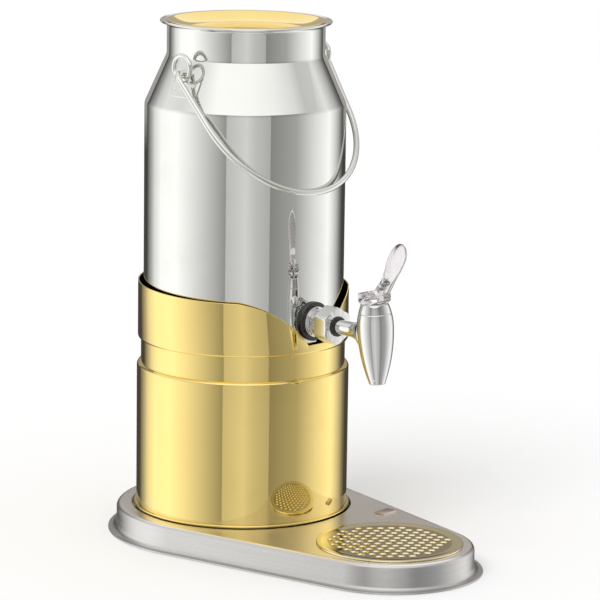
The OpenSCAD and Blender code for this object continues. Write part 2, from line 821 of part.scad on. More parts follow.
// Ear plate on the right-hand shoulder, with its top edge folded out into a shelf
module ear_plate() {
    corner = 5;
    shelf_past = 0.8;
    shelf_root = 6;
    shelf_in = cone_r(ear_shelf_z) - shelf_root;
    color("silver") difference() {
        union() {
            intersection() {
                shoulder_solid(weld + ear_t);
                translate([0, -ear_offset, 0]) rotate([90, 0, 90]) linear_extrude(2 * churn_r) {
                    translate([-ear_w / 2, ear_low + corner]) square([ear_w, ear_shelf_z - ear_low - corner]);
                    translate([corner - ear_w / 2, ear_low]) square([ear_w - 2 * corner, 2 * corner]);
                    for (s = [-1, 1]) translate([s * (ear_w / 2 - corner), ear_low + corner]) circle(corner);
                }
            }
            translate([shelf_in, -ear_offset - ear_shelf_w / 2, ear_shelf_z - ear_t])
                cube([ring_x + shelf_past - shelf_in, ear_shelf_w, ear_t]);
        }
        shoulder_solid(weld);
    }
}

module ear_plate_right() {
    ear_plate();
}

module ear_plate_left() {
    mirror([1, 0, 0]) ear_plate();
}

// Ear ring on the right, standing on the shelf with its foot ground flat
module ear_ring() {
    color("silver") difference() {
        translate([ring_x, -ear_offset, ring_z]) rotate([0, 90, 0])
            rotate_extrude() translate([ring_r, 0]) circle(d = ring_wire);
        translate([ring_x - cut / 2, -ear_offset - cut / 2, ear_shelf_z - cut]) cube(cut);
    }
}

module ear_ring_right() {
    ear_ring();
}

module ear_ring_left() {
    mirror([1, 0, 0]) ear_ring();
}

// A bend of the bail's wire
module wire_arc(r, a) {
    rotate_extrude(angle = a) translate([r, 0]) circle(d = bail_wire);
}

// Right leg of the bail with its turned-in end, lying in XY with Y down its length
module bail_end() {
    tip_chamfer = 1.2;
    translate([bail_end_x, 0, 0]) rotate([0, 90, 0]) turned([
        [0, 0], [bail_wire / 2 - tip_chamfer, 0], [bail_wire / 2, tip_chamfer],
        [bail_wire / 2, bend_x - bail_end_x], [0, bend_x - bail_end_x]
    ]);
    translate([bend_x, bail_bend, 0]) {
        rotate([0, 0, -90]) wire_arc(bail_bend, 90 + leg_a);
        rotate([0, 0, leg_a]) translate([bail_bend, -leg_lap, 0]) rotate([-90, 0, 0])
            cylinder(d = bail_wire + leg_more, h = leg_l + 2 * leg_lap);
    }
}

module bail_handle() {
    color("silver") translate([0, -ear_offset, pivot_z]) rotate([-90 - bail_hang, 0, 0]) {
        bail_end();
        mirror([1, 0, 0]) bail_end();
        translate([0, bail_mid, 0]) rotate([0, 0, leg_a]) wire_arc(bail_r, 180 - 2 * leg_a);
    }
}

module outlet_nipple() {
    color("silver") along_tap() difference() {
        union() {
            translate([0, 0, lock_in - nipple_past])
                cylinder(d = nipple_d, h = nipple_out - lock_in + nipple_past);
            translate([0, 0, washer_out]) cylinder(d = shoulder_d, h = shoulder_t);
        }
        translate([0, 0, lock_in - cut / 2]) cylinder(d = nipple_bore, h = 2 * cut);
    }
}

module outer_gasket() {
    chamfer = 0.9;
    color("black") difference() {
        along_tap() turned([
            [nipple_d / 2 + thread_gap, gasket_back], [gasket_d / 2, gasket_back],
            [gasket_d / 2, gasket_out - chamfer], [gasket_d / 2 - chamfer, gasket_out],
            [nipple_d / 2 + thread_gap, gasket_out]
        ]);
        translate([0, 0, seat_z]) cylinder(r = churn_r + weld, h = 2 * cut, $fn = 360);
    }
}

module outer_washer() {
    color("silver") along_tap() ring(washer_d / 2, nipple_d / 2 + thread_gap, gasket_out, washer_out);
}

module inner_gasket() {
    color("black") intersection() {
        along_tap() ring((gasket_d - inner_gasket_less) / 2, nipple_d / 2 + thread_gap, lock_out, churn_r);
        translate([0, 0, seat_z]) cylinder(r = churn_in - weld, h = 2 * cut, $fn = 360);
    }
}

module lock_nut() {
    color("silver") along_tap() difference() {
        hex(lock_flats, lock_in, lock_out, lock_chamfer);
        cylinder(d = nipple_d + 2 * thread_gap, h = 2 * churn_r);
    }
}

module union_nut() {
    color("gainsboro") along_tap() difference() {
        hex(union_flats, union_in, union_out, union_chamfer);
        translate([0, 0, union_in - 1])
            cylinder(d = nipple_d + 2 * thread_gap, h = flange_out - union_in + 1);
        cylinder(d = pipe_d + 2 * pipe_gap, h = 2 * churn_r);
    }
}

module retaining_ring() {
    color("dimgray") along_tap()
        ring(pipe_d / 2 + ring_w, pipe_d / 2 + weld, union_out, union_out + ring_t);
}

module pipe_gasket() {
    color("black") along_tap() ring(pipe_flange_d / 2, nipple_bore / 2, nipple_out, flange_in);
}

// Outer line of the valve's body from the spout up to a height
function body_line(top) =
    let (
        side = [body_r - body_curve, body_wide],
        cap = [body_r - bonnet_curve, body_wide],
        a0 = -asin(body_drop / body_curve),
        lip = 1.2
    )
    concat(
        [[0, -body_down - lip], [spout_r - lip, -body_down - lip]],
        arc(side, body_curve, a0, 0, 14),
        [for (p = arc(cap, bonnet_curve, 0, asin((top - body_wide) / bonnet_curve), 5)) p],
        [[0, top]]
    );

module tap_body() {
    flare = 7;
    flare_more = 8;
    flare_lap = 3;
    color("gainsboro") difference() {
        union() {
            along_valve() turned(body_line(seam_up));
            along_tap() {
                translate([0, 0, flange_in]) cylinder(d = pipe_flange_d, h = pipe_flange_t);
                translate([0, 0, flange_in]) cylinder(d = pipe_d, h = valve_reach - flange_in - chamber_r);
                translate([0, 0, valve_reach - body_r - flare])
                    cylinder(d1 = pipe_d, d2 = pipe_d + flare_more, h = flare + flare_lap);
            }
        }
        along_valve() {
            translate([0, 0, -seat_down]) cylinder(r = chamber_r, h = cut);
            translate([0, 0, -cut]) cylinder(r = spout_bore_r, h = cut);
        }
        along_tap() cylinder(d = pipe_bore, h = valve_reach);
    }
}

module tap_bonnet() {
    spigot_r = chamber_r - spigot_gap;
    color("gainsboro") along_valve() difference() {
        turned(concat(
            [[0, bonnet_in], [spigot_r, bonnet_in], [spigot_r, groove_z - seal_d / 2]],
            [[spigot_r - seal_d, groove_z - seal_d / 2], [spigot_r - seal_d, groove_z + seal_d / 2]],
            [[spigot_r, groove_z + seal_d / 2], [spigot_r, seam_up]],
            [for (i = [0:5]) let (z = seam_up + (bonnet_up - seam_up) * i / 5) [bonnet_r(z), z]],
            [[0, bonnet_up]]
        ));
        cylinder(r = stem_r + stem_gap, h = cut);
    }
}

module bonnet_seal() {
    color("black") along_valve() rotate_extrude()
        translate([chamber_r - spigot_gap - seal_d / 2, groove_z]) circle(d = seal_d - seal_slack);
}

module valve_stem() {
    color("silver") along_valve() difference() {
        union() {
            translate([0, 0, plug_socket]) cylinder(r = stem_r, h = stem_top - plug_socket);
            translate([0, 0, plug_top]) cylinder(r = spring_plate_r, h = spring_plate_t);
        }
        translate([-cut / 2, 0, pin_z]) rotate([0, 90, 0]) cylinder(d = pin_d, h = cut);
    }
}

module seat_cup() {
    tip = 1.5;
    tip_taper = 0.9;
    tip_gap = 0.3;
    taper = 1;
    tip_r = spout_bore_r - tip_gap;
    color("white") along_valve() difference() {
        turned([
            [0, -seat_down - tip], [tip_r - tip_taper, -seat_down - tip], [tip_r, -seat_down],
            [plug_r, -seat_down], [plug_r - taper, plug_top], [0, plug_top]
        ]);
        translate([0, 0, plug_socket]) cylinder(r = stem_r + weld, h = cut);
    }
}

// Points on the valve spring's wire, with its end turns closed up
spring_steps = 20;
spring_sides = 6;
spring_close = 0.06;
function spring_t(i) = i / (spring_turns * spring_steps);
function spring_rise(t) = t + sin(360 * t) * spring_close;
function spring_point(i) = [
    spring_r * cos(360 * i / spring_steps),
    spring_r * sin(360 * i / spring_steps),
    spring_low + (spring_high - spring_low) * spring_rise(spring_t(i))
];
spring_n = spring_turns * spring_steps;
spring_gap = min([
    for (i = [0:spring_n - spring_steps])
        norm(spring_point(i + spring_steps) - spring_point(i)) - spring_wire
]);

module valve_spring() {
    echo(str("valve spring least gap to itself: ", spring_gap, " mm"));
    points = [
        for (i = [0:spring_n], k = [0:spring_sides - 1])
            let (a = 360 * i / spring_steps, b = 360 * k / spring_sides, p = spring_point(i))
            p + spring_wire / 2 * [cos(a) * cos(b), sin(a) * cos(b), sin(b)]
    ];
    sides = [
        for (i = [0:spring_n - 1], k = [0:spring_sides - 1])
            let (n = (k + 1) % spring_sides, p = i * spring_sides, q = p + spring_sides)
            each [[p + k, p + n, q + n], [p + k, q + n, q + k]]
    ];
    last = spring_n * spring_sides;
    caps = [
        for (k = [1:spring_sides - 2])
            each [[0, k + 1, k], [last, last + k, last + k + 1]]
    ];
    color("silver") along_valve() polyhedron(points, concat(sides, caps));
}

// Side line of the lever's paddle, outward and up from the middle of the bonnet's top
paddle_n = 10;
paddle_root = [5, 4.5];
paddle_bend_low = [15, 17];
paddle_bend_high = [19, 30];
function paddle_at(t) =
    curve([paddle_root, paddle_bend_low, paddle_bend_high, [paddle_reach - paddle_end_t / 3, paddle_h]], t);
function paddle_half(t) = (paddle_root_t + (paddle_end_t - paddle_root_t) * t) / 2;
function paddle_normal(t) =
    let (d = paddle_at(t + 0.01) - paddle_at(t - 0.01)) [-d.y, d.x] / norm(d);

module tap_lever() {
    end_r = paddle_end_w / 2;
    rise = (hub_r - foot_half) * tan(foot_rise);
    peak_back = 2;
    front_drop = 2;
    back_drop = 1.5;
    slot_past = 6;
    color([0.85, 0.82, 0.82, 0.6]) along_valve() translate([0, 0, bonnet_up]) difference() {
        union() {
            intersection() {
                translate([0, 0, -1]) cylinder(r = hub_r, h = hub_h + 1);
                translate([cut / 2, 0, 0]) rotate([0, -90, 0]) rotate([0, 0, -90]) linear_extrude(cut)
                    polygon([
                        [-foot_half, 0], [foot_half, 0], [hub_r, rise],
                        [hub_r, hub_h - front_drop], [-peak_back, hub_h],
                        [-hub_r, hub_h - back_drop], [-hub_r, rise]
                    ]);
            }
            intersection() {
                translate([cut / 2, 0, 0]) rotate([0, -90, 0]) rotate([0, 0, -90]) linear_extrude(cut)
                    polygon(concat(
                        [for (i = [0:paddle_n]) let (t = i / paddle_n)
                            paddle_at(t) + paddle_half(t) * paddle_normal(t)],
                        [for (i = [paddle_n:-1:0]) let (t = i / paddle_n)
                            paddle_at(t) - paddle_half(t) * paddle_normal(t)]
                    ));
                translate([0, cut, 0]) rotate([90, 0, 0]) linear_extrude(2 * cut) {
                    polygon([
                        [-paddle_root_w / 2, 0], [paddle_root_w / 2, 0],
                        [end_r, paddle_h - end_r], [-end_r, paddle_h - end_r]
                    ]);
                    translate([0, paddle_h - end_r]) circle(end_r);
                }
            }
        }
        translate([-slot_w / 2, -slot_w, -1]) cube([slot_w, 2 * slot_w, pin_up + slot_past]);
        translate([-cut / 2, 0, pin_up]) rotate([0, 90, 0]) cylinder(d = pin_d, h = cut);
    }
}

module lever_pin() {
    pin_l = 18;
    color("silver") along_valve() translate([-pin_l / 2, 0, pin_z]) rotate([0, 90, 0])
        cylinder(d = pin_d - 2 * pin_gap, h = pin_l);
}

base_tray();
base_plate();
base_mat();
base_posts();
base_screws();
badge_plate();
drip_cup();
drip_grate();
stand_drum();
drum_floor();
drum_screws();
drum_nuts();
stand_collar();
churn_seat();
cold_pack();
pack_cap();
churn_shell();
churn_floor();
lid();
lid_seal();
ear_plate_left();
ear_plate_right();
ear_ring_left();
ear_ring_right();
bail_handle();
outlet_nipple();
outer_gasket();
outer_washer();
inner_gasket();
lock_nut();
union_nut();
retaining_ring();
pipe_gasket();
tap_body();
tap_bonnet();
bonnet_seal();
valve_stem();
seat_cup();
valve_spring();
tap_lever();
lever_pin();
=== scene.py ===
import json
import math

import bmesh
import bpy
from mathutils import Matrix, Vector
from mathutils.geometry import tessellate_polygon


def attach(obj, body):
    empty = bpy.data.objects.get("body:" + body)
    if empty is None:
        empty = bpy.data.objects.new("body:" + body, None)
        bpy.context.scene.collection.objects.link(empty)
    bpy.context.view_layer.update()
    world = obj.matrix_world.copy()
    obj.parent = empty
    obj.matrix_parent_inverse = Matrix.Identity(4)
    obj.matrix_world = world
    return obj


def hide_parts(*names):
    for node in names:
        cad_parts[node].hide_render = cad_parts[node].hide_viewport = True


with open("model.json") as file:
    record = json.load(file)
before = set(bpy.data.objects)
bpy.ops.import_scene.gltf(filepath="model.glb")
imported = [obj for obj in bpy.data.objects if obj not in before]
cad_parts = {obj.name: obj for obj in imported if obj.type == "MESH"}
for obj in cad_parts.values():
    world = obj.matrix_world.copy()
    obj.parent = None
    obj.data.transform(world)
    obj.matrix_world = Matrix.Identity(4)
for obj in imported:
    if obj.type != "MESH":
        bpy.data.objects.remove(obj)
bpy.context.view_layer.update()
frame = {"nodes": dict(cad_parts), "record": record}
RECORD = frame["record"]
NODES = frame["nodes"]
MM = 0.001
SLOT_OF = {s["node"]: s["material_slot"] for s in RECORD["subparts"]}
BODY_OF = {n: b for b, names in RECORD["behaviour"]["bodies"].items() for n in names}


def deg(a):
    return math.radians(a)


# Camera, fitted to the view: distance and height in millimetres, angles in degrees
CAMERA_TURN = deg(-43.12)
CAMERA_OUT = 2748.2251
CAMERA_UP = 745.6146
CAMERA_LENS = 203.607
CAMERA_YAW = deg(0.974)
CAMERA_PITCH = deg(11.356)
CAMERA_ROLL = deg(0.802)
FACING = Matrix.Rotation(CAMERA_TURN, 4, "Z")


def make_camera():
    cy, sy = math.cos(CAMERA_YAW), math.sin(CAMERA_YAW)
    cp, sp = math.cos(CAMERA_PITCH), math.sin(CAMERA_PITCH)
    cr, sr = math.cos(CAMERA_ROLL), math.sin(CAMERA_ROLL)
    ahead = Vector((sy * cp, cy * cp, -sp))
    right = Vector((cy, -sy, 0))
    up = Vector((sy * sp, cy * sp, cp))
    image_right = cr * right + sr * up
    image_up = cr * up - sr * right
    pose = Matrix((image_right, image_up, -ahead)).transposed().to_4x4()
    pose.translation = Vector((0, -CAMERA_OUT, CAMERA_UP)) * MM
    data = bpy.data.cameras.new("camera")
    data.lens = CAMERA_LENS
    data.sensor_width = 36
    data.clip_end = 100
    camera = bpy.data.objects.new("camera", data)
    camera.matrix_world = FACING @ pose
    bpy.context.scene.collection.objects.link(camera)
    bpy.context.scene.camera = camera


make_camera()

# Sizes in millimetres, from the part's source. The shoulder's bends, the drum's foot bead, the funnels of the
# grate's holes, the pipe's flare, the room for the spring and the paddle's bow are the look's own.
# Tray, badge, drip cup and grate
TRAY_BIG_R, TRAY_SMALL_R, TRAY_SPAN = 104, 68, 174
TRAY_H, TRAY_SHEET, TRAY_EDGE_R = 21.8, 1.2, 4
FLANGE_REACH, FLANGE_H, FLANGE_LOW = 7, 5, 0.3
WELL_R, WELL_FLOOR = 91.55, 18
CUP_HOLE_R, CUP_R, CUP_T, CUP_LOW = 55.85, 55.45, 0.6, 4.7
CUP_FLANGE_R, CUP_CHAMFER = 57.7, 3
BADGE_PLACE, BADGE_TURN, BADGE_SIZE = (65.4, -104.7), deg(6.5), (18, 10, 1)
BADGE_EDGE, BADGE_CORNER = 0.35, 1.2
GRATE_R, GRATE_RIM_W, GRATE_SLOPE_W = 58.9, 4, 4.1
GRATE_DEPTH, GRATE_T, GRATE_LOW = 0.5, 0.8, 22.4
GRATE_LIP_T, GRATE_LIP_LOW = 0.8, 22
GRATE_FLOOR_R = GRATE_R - GRATE_RIM_W - GRATE_SLOPE_W
HOLE_PITCH, HOLE_TURN, HOLE_SHIFT, HOLE_ROWS = 8.85, deg(23), (3.4, -1.4), 17
THROAT_R, HOLE_LIP = 1.3, 2.2

# Stand
DRUM_R, DRUM_TOP, DRUM_EDGE_R = 87.75, 142.4, 3
BAND_R, STAND_SHEET, SPIGOT_TOP = 84.4, 1, 166
FOOT_BEAD_Z, FOOT_BEAD_R, FOOT_BEAD_OUT = 23.1, 1.2, 1.2
COLLAR_R, COLLAR_LOW, COLLAR_TOP = 87, 162.6, 209
COLLAR_TILT, COLLAR_EDGE_R = 3, 2.55
NOTCH_LOW, NOTCH_HALF, NOTCH_ARC_R = 170, 64, 99.5
NOTCH_ARC_X, NOTCH_ARC_Z = 88.3, 110.8

# Churn and lid
CHURN_R, CHURN_WALL, SEAT_Z = 82.5, 1, 155
SHOULDER_LOW, SHOULDER_TOP = 357.9, 398
SHOULDER_LOW_BEND, SHOULDER_TOP_BEND = 9, 6
WALL_SPLITS = (170, 179, 198, 207)  # rows of points that keep the wall even round the outlet
NECK_R, FLARE_R, LIP_Z = 64.6, 3.2, 425.0
RIM_R, RIM_TOP, RIM_BEAD_R = 70.3, 425.8, 1.1
LID_T, LID_R, LID_DISH_R = 0.8, 65, 62.1
LID_FLOOR_R, LID_FLOOR_Z = 41, 418.8
LID_SKIRT_R, LID_SKIRT_LOW, LID_SKIRT_LIP = 61.5, 411, 0.8
VENT_PLACE, VENT_D, VENT_LOW, VENT_HIGH = (6, 16), 3, 410, 430

# Ears, rings and bail
EAR_OFFSET, EAR_W, EAR_LOW = 8, 28, 369
EAR_T, EAR_CORNER, EAR_EDGE = 1.5, 5, 0.9
EAR_LIFT, EAR_SINK = 0.05, 0.5
EAR_SHELF_Z, EAR_SHELF_W, EAR_SHELF_OUT = 382, 19, 78.1
EAR_SHELF_CORNER, EAR_SHELF_EDGE, EAR_SHELF_SINK = 3, 0.5, 0.4
WELD_MARKS, WELD_MARK_UP = (-7, 4, 10), 5.5
WELD_MARK_R, WELD_MARK_DEEP = 1.5, 0.4
RING_X, RING_MEAN_R, RING_WIRE, RING_Z = 77.3, 9.5, 4, 393.2
PIVOT_Z, BAIL_WIRE, BAIL_R, BAIL_LEN = 388.7, 4.8, 79, 122
BAIL_BEND, BAIL_OUT, BAIL_HANG = 5.5, 83.6, deg(39.38)
BAIL_TIP_X, BAIL_TIP_ROUND = 71.9, 1.2

# Outlet and tap
TAP_Z, NIPPLE_R, NIPPLE_FIT = 188.5, 8, 0.08
NIPPLE_HOLE_R = NIPPLE_R + NIPPLE_FIT
NIPPLE_IN, NIPPLE_OUT, NIPPLE_BORE_R = 71.4, 102.6, 4.5
THREAD_PITCH, THREAD_DEPTH = 1.5, 0.75
WALL_CUT = (60, 100)
GASKET_R, GASKET_OUT, GASKET_GAP, GASKET_EDGE = 16, 85.5, 0.05, 1.1
WASHER_R, WASHER_OUT = 12.5, 87.1
NECK_RING_R, NECK_RING_OUT = 10.5, 90.1
UNION_IN, UNION_STEP, UNION_OUT = 97, 107, 111
UNION_FLATS, UNION_CHAMFER, UNION_MOUTH = 27.6, 2.6, 0.9
PIPE_R, PIPE_FIT, PIPE_BORE_R = 6, 0.2, 3.5
PIPE_HOLE_R = PIPE_R + PIPE_FIT
PIPE_FLANGE_R, PIPE_FLANGE_IN, PIPE_FLANGE_T = 7.7, 104.6, 2.4
PIPE_RING_GAP, PIPE_RING_W, PIPE_RING_T = 0.05, 2.2, 1.5
PIPE_FLARE, PIPE_FLARE_IN, PIPE_FLARE_OUT, PIPE_END = (3.5, 7.5), 127, 141.5, 143.5
PIPE_BORE_IN, PIPE_BORE_SHORT = 90, 3
VALVE_REACH, VALVE_LEAN = 154, deg(4)
BODY_R, BODY_WIDE, BODY_DOWN = 14.75, 6.5, 38.5
SPOUT_R, SPOUT_BORE_R, SPOUT_LIP = 6.6, 5, 1.2
VALVE_BORE_R, VALVE_BORE_LOW = 10, -20
SEAM_UP, SEAM_CUT, BONNET_UP, BONNET_CURVE = 17.5, 0.3, 25.5, 50
STEM_HOLE_R, SPRING_ROOM_R, SPRING_ROOM_TOP = 2.1, 5.7, 14.4
SPIGOT_R, SPIGOT_LOW = 9.9, 12.5
SEAL_GROOVE_R, SEAL_GROOVE_LOW, SEAL_GROOVE_TOP = 8.3, 14.2, 15.8

# Lever
HUB_R, HUB_EDGE = 13, 0.9
HUB_TOP = ((-13, 8), (-2, 9.5), (13, 7.5))
FOOT_HALF, FOOT_RISE = 5, deg(24)
SLOT_HALF, SLOT_TOP, PIN_UP, PIN_HOLE_R = 2.5, 11, 5, 1.5
PADDLE_LINE, PADDLE_ROUND = ((4, 3), (12, 16), (24, 24), (30, 49.5)), 0.78
PADDLE_WIDTHS = ((0, 18), (0.3, 16), (0.5, 16.5), (0.65, 19.6), (0.8, 22), (1, 22.4))
PADDLE_THICK = ((0, 9), (0.28, 7.6), (0.46, 5.2), (0.7, 4.6), (1, 4.2))
PADDLE_SQUARE = 0.87

# Gaps closed when meshes are sewn, in metres
SEAM_GAP = 1e-7
GRATE_SEAM_GAP = 3e-6

ALONG_TAP = Matrix.Translation((0, 0, TAP_Z)) @ Matrix.Rotation(deg(90), 4, "X")
ALONG_VALVE = Matrix.Translation((0, -VALVE_REACH, TAP_Z)) @ Matrix.Rotation(-VALVE_LEAN, 4, "X")
AT_NOSE = Matrix.Translation((0, -TRAY_SPAN, 0))


# Lines and meshes
def rounded(corners, closed=True, step=9, steps=0):
    """A line through (x, y, radius) corners, each turned with its radius in set steps or by a step angle."""
    line = []
    count = len(corners)
    for i, corner in enumerate(corners):
        p = Vector(corner[:2])
        radius = corner[2] if len(corner) > 2 else 0
        if radius <= 0 or (not closed and i in (0, count - 1)):
            line.append(tuple(p))
            continue
        u = (Vector(corners[i - 1][:2]) - p).normalized()
        v = (Vector(corners[(i + 1) % count][:2]) - p).normalized()
        half = u.angle(v) / 2
        centre = p + (u + v).normalized() * (radius / math.sin(half))
        start = p + u * (radius / math.tan(half)) - centre
        end = p + v * (radius / math.tan(half)) - centre
        a0 = math.atan2(start.y, start.x)
        turn = (math.atan2(end.y, end.x) - a0 + math.pi) % (2 * math.pi) - math.pi
        count_here = steps or max(2, math.ceil(abs(turn) / deg(step)))
        for k in range(count_here + 1):
            a = a0 + turn * k / count_here
            line.append((centre.x + radius * math.cos(a), centre.y + radius * math.sin(a)))
    return line


def arc(centre, radius, a0, a1, steps=10):
    """Points on an arc, angles in degrees."""
    angles = [deg(a0 + (a1 - a0) * k / steps) for k in range(steps + 1)]
    return [(centre[0] + radius * math.cos(a), centre[1] + radius * math.sin(a)) for a in angles]


def circle(radius, count, centre=(0, 0)):
    """Points round a circle, the first on the X axis."""
    turns = [2 * math.pi * k / count for k in range(count)]
    return [(centre[0] + radius * math.cos(a), centre[1] + radius * math.sin(a)) for a in turns]


def lathe(profile, count=192, closed=True):
    """A profile of (radius, height) turned about Z; a closed one runs back to its start."""
    points, faces, rows = [], [], []
    for r, z in profile:
        first = len(points)
        if r < 1e-6:
            points.append((0, 0, z))
            rows.append([first] * count)
        else:
            points += [(x, y, z) for x, y in circle(r, count)]
            rows.append([first + k for k in range(count)])
    for low, high in zip(rows, rows[1:] + (rows[:1] if closed else [])):
        for k in range(count):
            n = (k + 1) % count
            face = list(dict.fromkeys((low[k], low[n], high[n], high[k])))
            if len(face) > 2:
                faces.append(face)
    return points, faces


def skin(loops, around=True, ends=False):
    """Faces over loops of equal count; around joins the last loop to the first, ends caps open ends."""
    count = len(loops[0])
    points = [p for loop in loops for p in loop]
    faces = []
    last = len(loops) if around else len(loops) - 1
    for i in range(last):
        a, b = i * count, (i + 1) % len(loops) * count
        for k in range(count):
            n = (k + 1) % count
            faces.append((a + k, a + n, b + n, b + k))
    if ends:
        faces.append(tuple(reversed(range(count))))
        faces.append(tuple(range((len(loops) - 1) * count, len(loops) * count)))
    return points, faces


def tube(path, radius, sides=24, closed=False):
    """A round wire along a path; radius is one number or one for each point."""
    path = [Vector(p) for p in path]
    count = len(path)
    radii = radius if isinstance(radius, list) else [radius] * count
    loops = []
    side = None
    for i, p in enumerate(path):
        before = path[i - 1] if closed or i else p
        after = path[(i + 1) % count] if closed or i < count - 1 else p
        ahead = (after - before).normalized()
        if side is None:
            side = ahead.orthogonal()
        side = (side - ahead * side.dot(ahead)).normalized()
        other = ahead.cross(side)
        loops.append([tuple(p + radii[i] * (side * c + other * s)) for c, s in circle(1, sides)])
    return skin(loops, around=closed, ends=not closed)


def joined(*shapes):
    points, faces = [], []
    for more_points, more_faces in shapes:
        first = len(points)
        points += list(more_points)
        faces += [tuple(first + k for k in face) for face in more_faces]
    return points, faces


def placed(shape, place):
    return [tuple(place @ Vector(p)) for p in shape[0]], shape[1]


def rod(radius, start, end, count, place):
    """A plain round bar along the place's Z axis."""
    return placed(lathe([(0, start), (radius, start), (radius, end), (0, end)], count), place)


def turned(corners, count, place):
    """A closed line of rounded corners turned about the place's Z axis."""
    return placed(lathe(rounded(corners), count), place)


def sew(mesh, gap, *more):
    """Adds other meshes to the mesh, closes its seams and turns its faces outward."""
    bm = bmesh.new()
    for source in (mesh, *more):
        bm.from_mesh(source)
    bmesh.ops.remove_doubles(bm, verts=bm.verts, dist=gap)
    bmesh.ops.recalc_face_normals(bm, faces=bm.faces)
    bm.to_mesh(mesh)
    bm.free()


def soften(mesh, sharp):
    """Smooth shading between edges sharper than an angle in degrees."""
    mesh.shade_smooth()
    mesh.set_sharp_from_angle(angle=deg(sharp))


def mesh_of(name, shape, sharp=32):
    """A mesh in metres with closed seams, faces outward and smooth shading."""
    mesh = bpy.data.meshes.new(name)
    mesh.from_pydata([tuple(Vector(p) * MM) for p in shape[0]], [], shape[1])
    sew(mesh, SEAM_GAP)
    soften(mesh, sharp)
    return mesh


def linked(name, mesh):
    piece = bpy.data.objects.new(name, mesh)
    bpy.context.scene.collection.objects.link(piece)
    return piece


def settled(piece):
    """The piece's evaluated mesh made its own, with no modifiers left."""
    bpy.context.view_layer.update()
    evaluated = piece.evaluated_get(bpy.context.evaluated_depsgraph_get())
    mesh = bpy.data.meshes.new_from_object(evaluated)
    piece.modifiers.clear()
    piece.data = mesh
    return piece


def combined(piece, tool_shape, operation):
    """The piece cut by, or joined with, another shape."""
    tool = linked("tool", mesh_of("tool", tool_shape))
    change = piece.modifiers.new("change", "BOOLEAN")
    change.operation = operation
    change.solver = "EXACT"
    change.object = tool
    settled(piece)
    bpy.data.objects.remove(tool)
    return piece


def look_of(node, shape, sharp=32):
    """The shape as an object named for the CAD node that it will stand for."""
    return linked(node + "_look", mesh_of(node + "_look", shape, sharp))


def standing(piece, material, *nodes):
    """The piece stands for these CAD nodes: it takes their body and the given material, and hides them."""
    piece.data.materials.clear()
    piece.data.materials.append(material)
    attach(piece, BODY_OF[nodes[0]])
    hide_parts(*nodes)
    return piece


def piece_for(node, shape, material, sharp=32):
    return standing(look_of(node, shape, sharp), material, node)


# Shader node helpers
def node_of(tree, kind, **values):
    node = tree.nodes.new(kind)
    for key, value in values.items():
        setattr(node, key, value)
    return node


def feed(tree, value, socket):
    """Links a socket or sets a plain value."""
    if isinstance(value, bpy.types.NodeSocket):
        tree.links.new(value, socket)
    else:
        socket.default_value = value


def maths(tree, operation, a, b=0.0):
    node = node_of(tree, "ShaderNodeMath", operation=operation)
    feed(tree, a, node.inputs[0])
    feed(tree, b, node.inputs[1])
    return node.outputs[0]


def noise(tree, vector, scale, detail=2.0, roughness=0.5):
    node = node_of(tree, "ShaderNodeTexNoise")
    feed(tree, vector, node.inputs["Vector"])
    feed(tree, scale, node.inputs["Scale"])
    feed(tree, detail, node.inputs["Detail"])
    feed(tree, roughness, node.inputs["Roughness"])
    return node.outputs["Fac"]


def mapped(tree, value, low, high, to_low, to_high, smooth=False):
    node = node_of(tree, "ShaderNodeMapRange", interpolation_type="SMOOTHSTEP" if smooth else "LINEAR")
    for socket, number in zip(node.inputs, (value, low, high, to_low, to_high)):
        feed(tree, number, socket)
    return node.outputs[0]


def mixed(tree, factor, a, b):
    node = node_of(tree, "ShaderNodeMix", data_type="RGBA")
    feed(tree, factor, node.inputs[0])
    feed(tree, a, node.inputs[6])
    feed(tree, b, node.inputs[7])
    return node.outputs[2]


def stretched(tree, vector, scale):
    node = node_of(tree, "ShaderNodeMapping")
    feed(tree, vector, node.inputs["Vector"])
    node.inputs["Scale"].default_value = scale
    return node.outputs[0]


def new_group(name, inputs, outputs):
    group = bpy.data.node_groups.new(name, "ShaderNodeTree")
    for label, kind, default in inputs:
        socket = group.interface.new_socket(label, in_out="INPUT", socket_type=kind)
        if default is not None:
            socket.default_value = default
    for label, kind in outputs:
        group.interface.new_socket(label, in_out="OUTPUT", socket_type=kind)
    return group, group.nodes.new("NodeGroupInput"), group.nodes.new("NodeGroupOutput")


FLOAT, VECTOR = "NodeSocketFloat", "NodeSocketVector"


def make_polish_group():
    """Handling marks on polished metal: faint smears and hair scratches."""
    group, given, out = new_group(
        "handling marks",
        [("Position", VECTOR, None), ("Smear scale", FLOAT, 14.0), ("Scratch scale", FLOAT, 900.0),
         ("Clean roughness", FLOAT, 0.03), ("Smeared roughness", FLOAT, 0.08)],
        [("Roughness", FLOAT), ("Height", FLOAT), ("Smear", FLOAT)])
    smear = mapped(group, noise(group, given.outputs["Position"], given.outputs["Smear scale"], 4, 0.6),
                   0.48, 0.72, 0.0, 1.0, True)
    fine = stretched(group, given.outputs["Position"], (1, 1, 0.06))
    hair = mapped(group, noise(group, fine, given.outputs["Scratch scale"], 1), 0.66, 0.74, 0.0, 1.0)
    rough = node_of(group, "ShaderNodeMapRange")
    feed(group, smear, rough.inputs[0])
    feed(group, given.outputs["Clean roughness"], rough.inputs[3])
    feed(group, given.outputs["Smeared roughness"], rough.inputs[4])
    feed(group, rough.outputs[0], out.inputs["Roughness"])
    feed(group, hair, out.inputs["Height"])
    feed(group, smear, out.inputs["Smear"])
    return group


